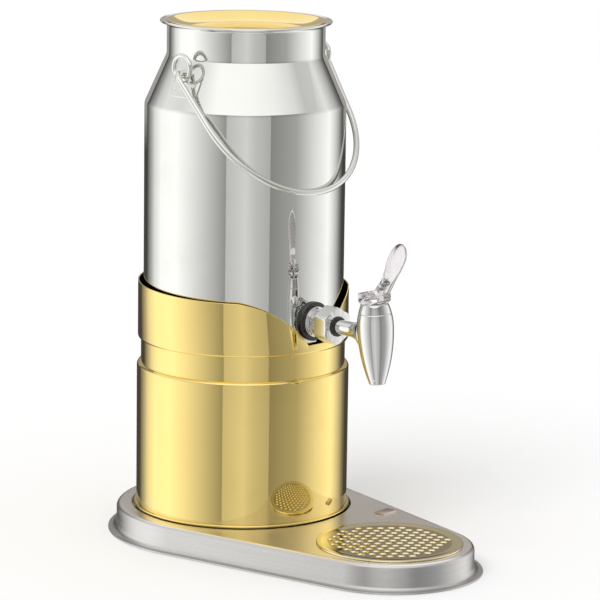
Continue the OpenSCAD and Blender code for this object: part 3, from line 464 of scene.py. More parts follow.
def make_grain_group():
    """Directional grain of brushed or satin metal, drawn out along one axis."""
    group, given, out = new_group(
        "satin grain",
        [("Position", VECTOR, None), ("Grain scale", FLOAT, 700.0), ("Patch scale", FLOAT, 18.0)],
        [("Grain", FLOAT), ("Patch", FLOAT)])
    where = given.outputs["Position"]
    feed(group, noise(group, where, given.outputs["Grain scale"], 3, 0.65), out.inputs["Grain"])
    feed(group, noise(group, where, given.outputs["Patch scale"], 3), out.inputs["Patch"])
    return group


def make_speckle_group():
    """Fine moulded or rubbery surface with dust in its hollows."""
    group, given, out = new_group(
        "moulded skin",
        [("Position", VECTOR, None), ("Skin scale", FLOAT, 1200.0), ("Dust scale", FLOAT, 60.0)],
        [("Height", FLOAT), ("Dust", FLOAT)])
    where = given.outputs["Position"]
    feed(group, noise(group, where, given.outputs["Skin scale"], 3, 0.6), out.inputs["Height"])
    spots = noise(group, where, given.outputs["Dust scale"], 5, 0.65)
    feed(group, mapped(group, spots, 0.5, 0.8, 0, 1), out.inputs["Dust"])
    return group


POLISH, GRAIN, SKIN = make_polish_group(), make_grain_group(), make_speckle_group()


def new_material(name):
    material = bpy.data.materials.new(name)
    material.use_nodes = True
    tree = material.node_tree
    shader = tree.nodes["Principled BSDF"]
    where = node_of(tree, "ShaderNodeTexCoord").outputs["Object"]
    return material, tree, shader, where


def use_group(tree, group, where, **values):
    node = node_of(tree, "ShaderNodeGroup", node_tree=group)
    feed(tree, where, node.inputs["Position"])
    for label, value in values.items():
        feed(tree, value, node.inputs[label.replace("_", " ")])
    return node.outputs


def bumped(tree, shader, height, strength, distance):
    bump = node_of(tree, "ShaderNodeBump")
    bump.inputs["Strength"].default_value = strength
    bump.inputs["Distance"].default_value = distance
    feed(tree, height, bump.inputs["Height"])
    feed(tree, bump.outputs[0], shader.inputs["Normal"])


def polished_metal(name, colour, smeared, clean, dull, bump=0.02):
    """Mirror-polished metal with faint smears and hair scratches."""
    material, tree, shader, where = new_material(name)
    marks = use_group(tree, POLISH, where, Clean_roughness=clean, Smeared_roughness=dull)
    feed(tree, mixed(tree, marks["Smear"], (*colour, 1), (*smeared, 1)), shader.inputs["Base Color"])
    shader.inputs["Metallic"].default_value = 1
    feed(tree, marks["Roughness"], shader.inputs["Roughness"])
    bumped(tree, shader, marks["Height"], bump, 0.00002)
    return material


def satin_metal(name, light, dark, low, high, draw=(1, 1, 1), bump=0.12, grain=700.0):
    """Satin metal whose grain is drawn out along the axis with the small scale."""
    material, tree, shader, where = new_material(name)
    look = use_group(tree, GRAIN, stretched(tree, where, draw), Grain_scale=grain)
    patch = mapped(tree, look["Patch"], 0.35, 0.65, 0.0, 1.0, True)
    shade = maths(tree, "MULTIPLY", look["Grain"], 0.5)
    tone = maths(tree, "ADD", shade, maths(tree, "MULTIPLY", patch, 0.5))
    feed(tree, mixed(tree, tone, (*light, 1), (*dark, 1)), shader.inputs["Base Color"])
    shader.inputs["Metallic"].default_value = 1
    feed(tree, mapped(tree, look["Grain"], 0.3, 0.7, low, high), shader.inputs["Roughness"])
    bumped(tree, shader, look["Grain"], bump, 0.00003)
    return material


def soft_material(name, colour, dusty, low, high, bump=0.3, scale=1200.0):
    """Rubber, silicone or moulded plastic with a fine skin."""
    material, tree, shader, where = new_material(name)
    look = use_group(tree, SKIN, where, Skin_scale=scale)
    feed(tree, mixed(tree, maths(tree, "MULTIPLY", look["Dust"], 0.6), (*colour, 1), (*dusty, 1)),
         shader.inputs["Base Color"])
    feed(tree, mapped(tree, look["Height"], 0.3, 0.7, low, high), shader.inputs["Roughness"])
    bumped(tree, shader, look["Height"], bump, 0.00005)
    return material


def clear_acrylic(name):
    material, tree, shader, where = new_material(name)
    marks = use_group(tree, POLISH, where, Smear_scale=60.0, Clean_roughness=0.12, Smeared_roughness=0.18)
    cloud = mapped(tree, noise(tree, where, 90.0, 3), 0.3, 0.7, 0.0, 1.0)
    feed(tree, mixed(tree, cloud, (0.90, 0.87, 0.88, 1), (0.84, 0.80, 0.81, 1)), shader.inputs["Base Color"])
    shader.inputs["Transmission Weight"].default_value = 1
    shader.inputs["IOR"].default_value = 1.49
    feed(tree, marks["Roughness"], shader.inputs["Roughness"])
    bumped(tree, shader, cloud, 0.02, 0.0002)
    return material


STEEL = polished_metal("polished steel", (0.72, 0.72, 0.69), (0.69, 0.69, 0.66), 0.035, 0.06)
GILT = polished_metal("gilt", (0.87, 0.675, 0.25), (0.84, 0.645, 0.23), 0.035, 0.06)
PALE_GILT = polished_metal("pale gilt", (0.85, 0.75, 0.46), (0.82, 0.71, 0.42), 0.035, 0.06)
CHROME = polished_metal("chrome", (0.70, 0.70, 0.69), (0.67, 0.67, 0.66), 0.03, 0.05)
SATIN = satin_metal("satin steel", (0.66, 0.645, 0.625), (0.58, 0.565, 0.545), 0.26, 0.36, (1, 1, 1), 0.08)
TRAY = satin_metal("tray steel", (0.62, 0.615, 0.60), (0.52, 0.51, 0.49), 0.24, 0.34, (0.02, 0.02, 1), 0.08)
PLAIN = satin_metal("plain steel", (0.62, 0.62, 0.61), (0.5, 0.5, 0.49), 0.28, 0.42, (1, 1, 0.15), 0.1)
BADGE = satin_metal("badge plate", (0.66, 0.55, 0.49), (0.56, 0.46, 0.41), 0.3, 0.42, (0.1, 1, 1), 0.1)
RUBBER = soft_material("black rubber", (0.018, 0.017, 0.015), (0.06, 0.055, 0.045), 0.35, 0.55)
GLOSSY_RUBBER = soft_material("glossy rubber", (0.02, 0.018, 0.015), (0.07, 0.06, 0.05), 0.1, 0.2, 0.1)
SILICONE = soft_material("white silicone", (0.80, 0.80, 0.77), (0.70, 0.70, 0.66), 0.35, 0.5, 0.1)
MAT = soft_material("mat rubber", (0.05, 0.05, 0.05), (0.12, 0.115, 0.11), 0.6, 0.8, 0.6, 500.0)
PACK = soft_material("pack plastic", (0.10, 0.25, 0.50), (0.14, 0.30, 0.55), 0.35, 0.5, 0.2)
CAP = soft_material("cap plastic", (0.80, 0.80, 0.79), (0.70, 0.70, 0.68), 0.3, 0.45, 0.15)
ACRYLIC = clear_acrylic("clear acrylic")
BY_SLOT = {
    "polished_steel": STEEL, "gilt": GILT, "satin_steel": SATIN, "plain_steel": PLAIN, "chrome": CHROME,
    "clear_acrylic": ACRYLIC, "black_rubber": RUBBER, "white_silicone": SILICONE, "mat_rubber": MAT,
    "badge": BADGE, "pack_plastic": PACK, "cap_plastic": CAP,
}
for name, part in NODES.items():
    part.data.materials.clear()
    part.data.materials.append(BY_SLOT[SLOT_OF[name]])


def place_masks(material, centre_y):
    """The base colour's socket, the place, its height and its distance from an upright axis."""
    tree = material.node_tree
    colour = tree.nodes["Principled BSDF"].inputs["Base Color"]
    where = node_of(tree, "ShaderNodeTexCoord").outputs["Object"]
    split = node_of(tree, "ShaderNodeSeparateXYZ")
    feed(tree, where, split.inputs[0])
    level = node_of(tree, "ShaderNodeCombineXYZ")
    feed(tree, split.outputs[0], level.inputs[0])
    feed(tree, maths(tree, "SUBTRACT", split.outputs[1], centre_y * MM), level.inputs[1])
    reach = node_of(tree, "ShaderNodeVectorMath", operation="LENGTH")
    feed(tree, level.outputs[0], reach.inputs[0])
    return tree, colour, where, split.outputs[2], reach.outputs["Value"]


# Painted shade: the tray's well is coloured near black on the side given here, where the gap lies in the
# stand's shade
WELL_SHADE_SIDE = (0.73, -0.683, 0)
# Painted light: the tray's flat top is mixed towards a pale warm white, as if lit from above
TRAY_TOP_PAINTED_LIGHT, TRAY_TOP_LIGHT_SHARE = (0.97, 0.925, 0.88, 1), 0.9
# Painted shade: the near-black colour of that well
WELL_PAINTED_SHADE_COLOUR = (0.012, 0.01, 0.008, 1)
# Painted reflection: a dark brown for the grate's flat webs, standing in for the dark surroundings that they
# mirror
WEB_PAINTED_REFLECTION_COLOUR = (0.50, 0.39, 0.20, 1)


def paint_tray_light_and_shade(material):
    """Paints light on the tray's flat top, and paints shade into its well on the side where the narrow gap
    lies in the stand's shade.
    """
    tree, colour, where, height, reach = place_masks(material, 0)
    inside = maths(tree, "LESS_THAN", reach, (WELL_R + 0.4) * MM)
    below = maths(tree, "LESS_THAN", height, (TRAY_H - 0.1) * MM)
    shade_side = node_of(tree, "ShaderNodeVectorMath", operation="DOT_PRODUCT")
    feed(tree, where, shade_side.inputs[0])
    feed(tree, WELL_SHADE_SIDE, shade_side.inputs[1])
    aside = shade_side.outputs["Value"]
    shaded = mapped(tree, aside, 0.3 * WELL_R * MM, 0.8 * WELL_R * MM, 0.0, 1.0, True)
    # Painted shade: the well's wall and floor on the shaded side
    mask = maths(tree, "MULTIPLY", maths(tree, "MULTIPLY", inside, below), shaded)
    # Painted light: the flat top is mixed towards the pale warm white
    on_top = mapped(tree, height, (TRAY_H - 1.2) * MM, (TRAY_H - 0.1) * MM, 0.0, TRAY_TOP_LIGHT_SHARE, True)
    lightened = mixed(tree, on_top, colour.links[0].from_socket, TRAY_TOP_PAINTED_LIGHT)
    feed(tree, mixed(tree, mask, lightened, WELL_PAINTED_SHADE_COLOUR), colour)


def paint_grate_web_reflection(material):
    """Darkens the flat webs between the grate's holes: a painted dark reflection of the dark surroundings
    that the webs mirror.
    """
    tree, colour, where, height, reach = place_masks(material, -TRAY_SPAN)
    top = GRATE_LOW + GRATE_T - GRATE_DEPTH
    flat = mapped(tree, height, (top - 0.05) * MM, (top - 0.01) * MM, 0.0, 1.0)
    inside = mapped(tree, reach, GRATE_FLOOR_R * MM, (GRATE_FLOOR_R - 2) * MM, 0.0, 1.0, True)
    # Painted reflection: the flat tops of the webs inside the perforated floor
    dark_webs = maths(tree, "MULTIPLY", flat, inside)
    feed(tree, mixed(tree, dark_webs, colour.links[0].from_socket, WEB_PAINTED_REFLECTION_COLOUR), colour)


paint_tray_light_and_shade(TRAY)
paint_grate_web_reflection(PALE_GILT)


# Churn
def churn_shape():
    cone = math.atan2(CHURN_R - NECK_R, SHOULDER_TOP - SHOULDER_LOW)
    sink = math.tan(cone / 2) * CHURN_WALL
    lip_low = LIP_Z - CHURN_WALL
    inner = CHURN_R - CHURN_WALL
    neck_in = NECK_R - CHURN_WALL
    bead = (RIM_R - RIM_BEAD_R, RIM_TOP - RIM_BEAD_R)
    bead_from, bead_to = -140.5, 164
    outer_lip_end, inner_lip_end = bead[0] - 0.85, bead[0] - 1.06
    outside = [(CHURN_R, z) for z in (SEAT_Z, *WALL_SPLITS)]
    outside += [(CHURN_R, SHOULDER_LOW, SHOULDER_LOW_BEND), (NECK_R, SHOULDER_TOP, SHOULDER_TOP_BEND)]
    outside += [(NECK_R, lip_low, FLARE_R), (outer_lip_end, lip_low)]
    inside = [(inner_lip_end, LIP_Z), (neck_in, LIP_Z, FLARE_R + CHURN_WALL)]
    inside += [(neck_in, SHOULDER_TOP - sink, SHOULDER_TOP_BEND + CHURN_WALL)]
    inside += [(inner, SHOULDER_LOW - sink, SHOULDER_LOW_BEND - CHURN_WALL)]
    inside += [(inner, z) for z in reversed((SEAT_Z, *WALL_SPLITS))]
    rim = arc(bead, RIM_BEAD_R, bead_from, bead_to, 18)
    return lathe(rounded(outside, False, 3) + rim + rounded(inside, False, 3), 288)


churn = look_of("churn_shell", churn_shape())
combined(churn, rod(NIPPLE_HOLE_R, *WALL_CUT, 48, ALONG_TAP), "DIFFERENCE")
standing(churn, STEEL, "churn_shell")


# Lid
def lid_shape():
    rise = RIM_TOP - LID_FLOOR_Z
    run = LID_DISH_R - LID_FLOOR_R
    curve = (run * run + rise * rise) / (2 * rise)
    centre = (LID_FLOOR_R, LID_FLOOR_Z + curve)
    swing = math.degrees(math.asin(run / curve))
    top = [(0, LID_FLOOR_Z), (30, LID_FLOOR_Z)] + arc(centre, curve, 270, 270 + swing * 0.985, 26)
    edge = rounded([top[-1], (LID_DISH_R + 0.25, RIM_TOP, 0.5), (LID_R, RIM_TOP, 0.35), (LID_R, LIP_Z, 0.25),
                    (LID_DISH_R, LIP_Z)], False)[1:]
    lip_r, lip_top = LID_SKIRT_R + LID_SKIRT_LIP, LID_SKIRT_LOW + LID_T
    skirt = [(LID_SKIRT_R, LIP_Z), (LID_SKIRT_R, lip_top), (lip_r, lip_top), (lip_r, LID_SKIRT_LOW),
             (LID_SKIRT_R - LID_T, LID_SKIRT_LOW)]
    under = arc(centre, curve + LID_T, 270 + swing * 0.93, 270, 20)
    return lathe(top + edge + skirt + under + [(0, LID_FLOOR_Z - LID_T)], 256)


lid = look_of("lid", lid_shape())
vent = rod(VENT_D / 2, VENT_LOW, VENT_HIGH, 32, Matrix.Translation((*VENT_PLACE, 0)))
combined(lid, vent, "DIFFERENCE")
standing(lid, GILT, "lid")


# Stand
def drum_shape():
    bottom = (DRUM_R - DRUM_EDGE_R, WELL_FLOOR + DRUM_EDGE_R)
    step = DRUM_R - BAND_R
    top = (BAND_R, DRUM_TOP - step)
    inner = BAND_R - STAND_SHEET
    outside = arc(bottom, DRUM_EDGE_R, 270, 360, 12) + [(DRUM_R, FOOT_BEAD_Z - FOOT_BEAD_R)]
    outside += arc((DRUM_R + FOOT_BEAD_OUT, FOOT_BEAD_Z), FOOT_BEAD_R, -90, 90, 12)
    outside += [(DRUM_R, FOOT_BEAD_Z + FOOT_BEAD_R)]
    outside += arc(top, step, 0, 90, 14)
    rim = rounded([outside[-1], (BAND_R, SPIGOT_TOP, 0.4), (inner, SPIGOT_TOP, 0.4),
                   (inner, DRUM_TOP - STAND_SHEET)], False)
    inside = arc(top, step - STAND_SHEET, 90, 0, 10) + arc(bottom, DRUM_EDGE_R - STAND_SHEET, 360, 270, 10)
    return lathe(outside + rim[1:] + inside, 288)


piece_for("stand_drum", drum_shape(), GILT)


def collar_height(x, y):
    plane = COLLAR_TOP + COLLAR_TILT * y / COLLAR_R
    if y > 0 or abs(x) >= NOTCH_HALF:
        return plane
    off = abs(x) - NOTCH_ARC_X
    swept = NOTCH_ARC_Z + math.sqrt(NOTCH_ARC_R ** 2 - off * off)
    return min(plane, max(NOTCH_LOW, swept))


def collar_shape():
    count = 720
    roll = (COLLAR_R - COLLAR_EDGE_R, COLLAR_LOW + COLLAR_EDGE_R)
    outside = arc(roll, COLLAR_EDGE_R, 270, 360, 10)
    inside = arc(roll, COLLAR_EDGE_R - STAND_SHEET, 360, 270, 10)
    edge = STAND_SHEET / 2
    rim = arc((COLLAR_R - edge, -edge), edge, 0, 180, 8)
    loops = []
    for c, s in circle(1, count):
        high = collar_height(COLLAR_R * c, COLLAR_R * s)
        column = outside + [(r, high + z) for r, z in rim] + inside
        loops.append([(r * c, r * s, z) for r, z in column])
    return skin(loops)


piece_for("stand_collar", collar_shape(), GILT)


# Tray
def tray_outline(grow, steps_big=150, steps_small=90):
    """Points round the tray, with its wall line grown by an amount."""
    lean = math.asin((TRAY_BIG_R - TRAY_SMALL_R) / TRAY_SPAN)
    line = []
    for centre, radius, a0, a1, steps in (
            ((0, 0), TRAY_BIG_R, -lean, math.pi + lean, steps_big),
            ((0, -TRAY_SPAN), TRAY_SMALL_R, math.pi + lean, 2 * math.pi - lean, steps_small)):
        for k in range(steps + 1):
            a = a0 + (a1 - a0) * k / steps
            out = radius + grow
            line.append((centre[0] + out * math.cos(a), centre[1] + out * math.sin(a)))
    return line


def tray_shape():
    top_in = 2 * TRAY_EDGE_R - 1.5
    foot = FLANGE_LOW + TRAY_SHEET + FLANGE_H
    section = arc((-TRAY_EDGE_R, TRAY_H - TRAY_EDGE_R), TRAY_EDGE_R, 90, 0, 12)
    section += arc((FLANGE_H, foot), FLANGE_H, 180, 270, 12)
    section += rounded([section[-1], (FLANGE_REACH, FLANGE_LOW + TRAY_SHEET, 0.5),
                        (FLANGE_REACH, FLANGE_LOW, 0.5), (FLANGE_H, FLANGE_LOW)], False)[1:]
    section += arc((FLANGE_H, foot), FLANGE_H + TRAY_SHEET, 270, 180, 12)[1:]
    section += arc((-TRAY_EDGE_R, TRAY_H - TRAY_EDGE_R), TRAY_EDGE_R - TRAY_SHEET, 0, 90, 12)
    section = [(-top_in, TRAY_H)] + section + [(-top_in, TRAY_H - TRAY_SHEET)]
    loops = [[(x, y, z) for x, y in tray_outline(grow)] for grow, z in section]
    wall = skin(loops, around=False)
    outline = tray_outline(-top_in)
    count = 240
    well = circle(WELL_R, count)
    hole = circle(CUP_HOLE_R, count, (0, -TRAY_SPAN))
    points = outline + well + hole
    flat = tessellate_polygon([[Vector((x, y, 0)) for x, y in loop] for loop in (outline, well, hole)])
    low = TRAY_H - TRAY_SHEET
    top = ([(x, y, TRAY_H) for x, y in points], flat)
    under = ([(x, y, low) for x, y in points], [tuple(reversed(f)) for f in flat])
    hole_wall = skin([[(x, y, z) for x, y in hole] for z in (TRAY_H, low)], around=False)
    well_low, well_out = WELL_FLOOR - TRAY_SHEET, WELL_R + TRAY_SHEET
    bowl = [(WELL_R, TRAY_H), (WELL_R, WELL_FLOOR), (0, WELL_FLOOR), (0, well_low), (well_out, well_low),
            (well_out, low)]
    return joined(wall, top, under, hole_wall, lathe(bowl, count, False))


piece_for("base_tray", tray_shape(), TRAY)


def badge_shape():
    length, width, height = BADGE_SIZE
    edge = BADGE_EDGE
    loops = []
    for inset, z in ((0, 0), (0, height - edge), (edge * 0.3, height - edge * 0.3), (edge, height)):
        x, y, corner = length / 2 - inset, width / 2 - inset, BADGE_CORNER - inset
        line = rounded([(x, y, corner), (-x, y, corner), (-x, -y, corner), (x, -y, corner)])
        loops.append([(x, y, TRAY_H + z) for x, y in line])
    place = Matrix.Translation((*BADGE_PLACE, 0)) @ Matrix.Rotation(BADGE_TURN, 4, "Z")
    return placed(skin(loops, around=False, ends=True), place)


piece_for("badge_plate", badge_shape(), BADGE)


# Drip cup and grate: turned pieces, with the grate's holes laid out by a node tree
def cup_shape():
    inner = CUP_R - CUP_T
    floor = CUP_LOW + CUP_T
    return turned([
        (0, CUP_LOW), (CUP_R, CUP_LOW, CUP_CHAMFER + CUP_T), (CUP_R, TRAY_H, 0.1),
        (CUP_FLANGE_R, TRAY_H, 0.1), (CUP_FLANGE_R, TRAY_H + CUP_T, 0.25), (inner, TRAY_H + CUP_T, 0.3),
        (inner, floor, CUP_CHAMFER), (0, floor)], 192, AT_NOSE)


piece_for("drip_cup", cup_shape(), BY_SLOT[SLOT_OF["drip_cup"]])


def grate_rim_shape():
    """The grate's slope, rim and lip, open where its perforated floor joins."""
    high = GRATE_LOW + GRATE_T
    slope_top = GRATE_R - GRATE_RIM_W
    drop = GRATE_T * math.tan(math.atan2(GRATE_DEPTH, GRATE_SLOPE_W) / 2)
    lip_in = GRATE_R - GRATE_LIP_T
    line = rounded([
        (GRATE_FLOOR_R, high - GRATE_DEPTH), (slope_top, high, 1.2), (GRATE_R, high, GRATE_T),
        (GRATE_R, GRATE_LIP_LOW, 0.2), (lip_in, GRATE_LIP_LOW, 0.2), (lip_in, GRATE_LOW, 0.1),
        (slope_top - drop, GRATE_LOW, 0.6), (GRATE_FLOOR_R, GRATE_LOW - GRATE_DEPTH)], False)
    return placed(lathe(line, 256, False), AT_NOSE)


def geometry_tree(name, inputs):
    tree = bpy.data.node_groups.new(name, "GeometryNodeTree")
    tree.interface.new_socket("Geometry", in_out="OUTPUT", socket_type="NodeSocketGeometry")
    for label, kind, default in inputs:
        tree.interface.new_socket(label, in_out="INPUT", socket_type=kind).default_value = default
    return tree, tree.nodes.new("NodeGroupInput"), tree.nodes.new("NodeGroupOutput")


def grow(tree, kind, inputs=(), **values):
    """A geometry node with some inputs fed by name or place."""
    node = node_of(tree, kind, **values)
    for label, value in inputs:
        feed(tree, value, node.inputs[label])
    return node


def joined_nodes(tree, *parts):
    node = grow(tree, "GeometryNodeJoinGeometry")
    for part in parts:
        tree.links.new(part, node.inputs[0])
    return node.outputs[0]


def lattice_points(tree, size):
    """Points on a sixty degree lattice that keep whole holes inside the plate."""
    grid = grow(tree, "GeometryNodeMeshGrid", [("Vertices X", size["Rows"]), ("Vertices Y", size["Rows"])])
    span = maths(tree, "SUBTRACT", size["Rows"], 1)
    feed(tree, span, grid.inputs["Size X"])
    feed(tree, span, grid.inputs["Size Y"])
    place = tree.nodes.new("GeometryNodeInputPosition").outputs[0]
    split = grow(tree, "ShaderNodeSeparateXYZ", [(0, place)]).outputs
    skewed = maths(tree, "ADD", split[0], maths(tree, "MULTIPLY", split[1], 0.5))
    rows = maths(tree, "MULTIPLY", split[1], math.sin(deg(60)))
    across = maths(tree, "ADD", maths(tree, "MULTIPLY", skewed, size["Pitch"]), size["Shift X"])
    along = maths(tree, "ADD", maths(tree, "MULTIPLY", rows, size["Pitch"]), size["Shift Y"])
    lattice = grow(tree, "ShaderNodeCombineXYZ", [(0, across), (1, along)])
    laid = grow(tree, "GeometryNodeSetPosition", [
        ("Geometry", grid.outputs["Mesh"]), ("Position", lattice.outputs[0])])
    reach = grow(tree, "ShaderNodeVectorMath", [(0, place)], operation="LENGTH")
    hole = maths(tree, "ADD", size["Throat radius"], size["Lip"])
    limit = maths(tree, "SUBTRACT", size["Plate radius"], hole)
    outside = grow(tree, "FunctionNodeCompare", [(0, reach.outputs["Value"]), (1, limit)], data_type="FLOAT",
                   operation="GREATER_EQUAL")
    return grow(tree, "GeometryNodeDeleteGeometry", [
        ("Geometry", laid.outputs[0]), ("Selection", outside.outputs[0])])


def hole_lip(tree, size, around):
    """The funnel of one hole, from the plate's top in and down to its throat."""
    grid = grow(tree, "GeometryNodeMeshGrid", [
        ("Size X", 1.0), ("Size Y", 1.0), ("Vertices X", around + 1), ("Vertices Y", 7)])
    place = tree.nodes.new("GeometryNodeInputPosition").outputs[0]
    split = grow(tree, "ShaderNodeSeparateXYZ", [(0, place)]).outputs
    turn = maths(tree, "MULTIPLY", maths(tree, "ADD", split[0], 0.5), 2 * math.pi)
    inward = maths(tree, "POWER", maths(tree, "ADD", split[1], 0.5), 1.8)
    left = maths(tree, "SUBTRACT", 1.0, inward)
    height = maths(tree, "SUBTRACT", 1.0, maths(tree, "POWER", inward, 1.1))
    radius = maths(tree, "ADD", size["Throat radius"], maths(tree, "MULTIPLY", size["Lip"], left))
    wall = grow(tree, "ShaderNodeCombineXYZ", [
        (0, maths(tree, "MULTIPLY", radius, maths(tree, "COSINE", turn))),
        (1, maths(tree, "MULTIPLY", radius, maths(tree, "SINE", turn))),
        (2, maths(tree, "MULTIPLY", size["Thickness"], height))])
    bent = grow(tree, "GeometryNodeSetPosition", [
        ("Geometry", grid.outputs["Mesh"]), ("Position", wall.outputs[0])])
    return bent.outputs[0]


def perforated_floor_tree():
    """A round plate with round-edged holes on a sixty degree lattice, open at its rim."""
    tree, given, out = geometry_tree("perforated floor", [
        ("Plate radius", FLOAT, 0.05), ("Throat radius", FLOAT, 0.0025), ("Lip", FLOAT, 0.001),
        ("Pitch", FLOAT, 0.009), ("Thickness", FLOAT, 0.001), ("Turn", FLOAT, 0.0),
        ("Shift X", FLOAT, 0.0), ("Shift Y", FLOAT, 0.0), ("Rows", "NodeSocketInt", 15)])
    size = given.outputs
    around = 28
    points = lattice_points(tree, size).outputs[0]
    turn = grow(tree, "ShaderNodeCombineXYZ", [(2, size["Turn"])]).outputs[0]
    rim = grow(tree, "GeometryNodeCurvePrimitiveCircle", [
        ("Resolution", 256), ("Radius", size["Plate radius"])])

    def on_lattice(instance):
        copies = grow(tree, "GeometryNodeInstanceOnPoints", [("Points", points), ("Instance", instance)])
        spun = grow(tree, "GeometryNodeTransform", [("Geometry", copies.outputs[0]), ("Rotation", turn)])
        return spun.outputs[0]

    def sheet(radius):
        ring = grow(tree, "GeometryNodeCurvePrimitiveCircle", [("Resolution", around), ("Radius", radius)])
        lines = joined_nodes(tree, rim.outputs["Curve"], on_lattice(ring.outputs["Curve"]))
        flat = grow(tree, "GeometryNodeRealizeInstances", [("Geometry", lines)])
        return grow(tree, "GeometryNodeFillCurve", [("Curve", flat.outputs[0])]).outputs[0]

    lift = grow(tree, "ShaderNodeCombineXYZ", [(2, size["Thickness"])]).outputs[0]
    top_sheet = sheet(maths(tree, "ADD", size["Throat radius"], size["Lip"]))
    top = grow(tree, "GeometryNodeTransform", [("Geometry", top_sheet), ("Translation", lift)]).outputs[0]
    under = grow(tree, "GeometryNodeFlipFaces", [("Mesh", sheet(size["Throat radius"]))]).outputs[0]
    whole = joined_nodes(tree, top, under, on_lattice(hole_lip(tree, size, around)))
    real = grow(tree, "GeometryNodeRealizeInstances", [("Geometry", whole)])
    dressed = grow(tree, "GeometryNodeSetMaterial", [("Geometry", real.outputs[0]), ("Material", PALE_GILT)])
    tree.links.new(dressed.outputs[0], out.inputs[0])
    return tree


def grown(name, tree, values):
    """A plain mesh object made by a node tree, with its inputs set by name."""
    piece = linked(name, bpy.data.meshes.new(name))
    change = piece.modifiers.new("form", "NODES")
    change.node_group = tree
    for item in tree.interface.items_tree:
        if item.in_out == "INPUT" and item.name in values:
            change[item.identifier] = values[item.name]
    return settled(piece)


def make_grate():
    """The rim and the perforated floor sewn into one closed mesh."""
    floor = grown("grate_floor", perforated_floor_tree(), {
        "Plate radius": GRATE_FLOOR_R * MM, "Throat radius": THROAT_R * MM, "Lip": HOLE_LIP * MM,
        "Pitch": HOLE_PITCH * MM, "Thickness": GRATE_T * MM, "Turn": HOLE_TURN,
        "Shift X": HOLE_SHIFT[0] * MM, "Shift Y": HOLE_SHIFT[1] * MM, "Rows": HOLE_ROWS})
    floor.data.transform(Matrix.Translation(Vector((0, -TRAY_SPAN, GRATE_LOW - GRATE_DEPTH)) * MM))
    mesh = mesh_of("drip_grate_look", grate_rim_shape())
    sew(mesh, GRATE_SEAM_GAP, floor.data)
    soften(mesh, 13)
    bpy.data.objects.remove(floor)
    standing(linked("drip_grate_look", mesh), PALE_GILT, "drip_grate")


make_grate()


# Handle
def bail_path():
    """The bail's centre line in its own plane, X across and Y down its length."""
    bend_x = BAIL_OUT - BAIL_BEND
    bow_y = BAIL_LEN - BAIL_R
    far = bow_y - BAIL_BEND
    reach = math.hypot(bend_x, far)
    lean = math.degrees(math.acos((BAIL_R - BAIL_BEND) / reach) - math.atan2(far, bend_x))
    right = [(BAIL_TIP_X, 0), (BAIL_TIP_X + BAIL_TIP_ROUND, 0), (bend_x - 0.5, 0)]
    right += arc((bend_x, BAIL_BEND), BAIL_BEND, -90, lean, 12)
    bow = arc((0, bow_y), BAIL_R, lean, 90, 40)
    (x0, y0), (x1, y1) = right[-1], bow[0]
    legs = [(x0 + (x1 - x0) * k / 8, y0 + (y1 - y0) * k / 8) for k in range(1, 8)]
    half = right + legs + bow
    return half + [(-x, y) for x, y in reversed(half[:-1])]


def bail_shape():
    line = bail_path()
    radii = [BAIL_WIRE / 2] * len(line)
    radii[0] = radii[-1] = BAIL_WIRE / 2 - BAIL_TIP_ROUND
    place = Matrix.Translation((0, -EAR_OFFSET, PIVOT_Z)) @ Matrix.Rotation(deg(-90) - BAIL_HANG, 4, "X")
    return placed(tube([(x, y, 0) for x, y in line], radii, 28), place)


piece_for("bail_handle", bail_shape(), STEEL, 40)


def ring_shape(side):
    path = [(side * RING_X, y, z) for y, z in circle(RING_MEAN_R, 72, (-EAR_OFFSET, RING_Z))]
    points, faces = tube(path, RING_WIRE / 2, 24, True)
    return [(x, y, max(z, EAR_SHELF_Z)) for x, y, z in points], faces


def cone_r(z):
    return CHURN_R - (CHURN_R - NECK_R) * (z - SHOULDER_LOW) / (SHOULDER_TOP - SHOULDER_LOW)


def eased(distance, edge):
    """Share of a sheet's height at a distance from its round edge."""
    inward = min(1, max(0, distance) / edge)
    return math.sqrt(1 - (1 - inward) ** 2)


def slab(top, under):
    """A closed sheet between two grids of points with equal rows and columns."""
    rows, columns = len(top), len(top[0])
    points = [p for grid in (top, under) for row in grid for p in row]
    back = rows * columns
    faces = []
    for i in range(rows - 1):
        for k in range(columns - 1):
            a = i * columns + k
            quad = (a, a + 1, a + columns + 1, a + columns)
            faces += [quad, tuple(back + v for v in reversed(quad))]
    border = list(range(columns)) + [i * columns + columns - 1 for i in range(1, rows)]
    border += [(rows - 1) * columns + k for k in range(columns - 2, -1, -1)]
    border += [i * columns for i in range(rows - 2, 0, -1)]
    for a, b in zip(border, border[1:] + border[:1]):
        faces.append((b, a, back + a, back + b))
    return points, faces


def ear_plate_shape(side):
    """The plate on the shoulder, with round lower corners and shallow weld marks."""
    columns, rows = 40, 36
    top, under = [], []
    for i in range(rows + 1):
        up = (EAR_SHELF_Z - EAR_LOW) * (1 - math.cos(math.pi / 2 * i / rows))
        half = EAR_W / 2
        if up < EAR_CORNER:
            half += math.sqrt(EAR_CORNER ** 2 - (EAR_CORNER - up) ** 2) - EAR_CORNER
        top_row, under_row = [], []
        for k in range(-columns, columns + 1):
            across = half * math.sin(math.pi / 2 * k / columns)
            past = abs(across) - EAR_W / 2 + EAR_CORNER
            inward = min(EAR_W / 2 - abs(across), up)
            if past > 0 and up < EAR_CORNER:
                inward = EAR_CORNER - math.hypot(past, EAR_CORNER - up)
            high = EAR_T * eased(inward, EAR_EDGE)
            for mark in WELD_MARKS:
                off = math.hypot(across - mark, up - WELD_MARK_UP) / WELD_MARK_R
                if off < 1:
                    high -= WELD_MARK_DEEP * (1 - off * off) ** 2
            y, z = across - EAR_OFFSET, EAR_LOW + up
            for row, rise in ((top_row, high + EAR_LIFT), (under_row, -EAR_SINK)):
                row.append((side * math.sqrt((cone_r(z) + rise) ** 2 - y * y), y, z))
        top.append(top_row)
        under.append(under_row)
    return slab(top, under)


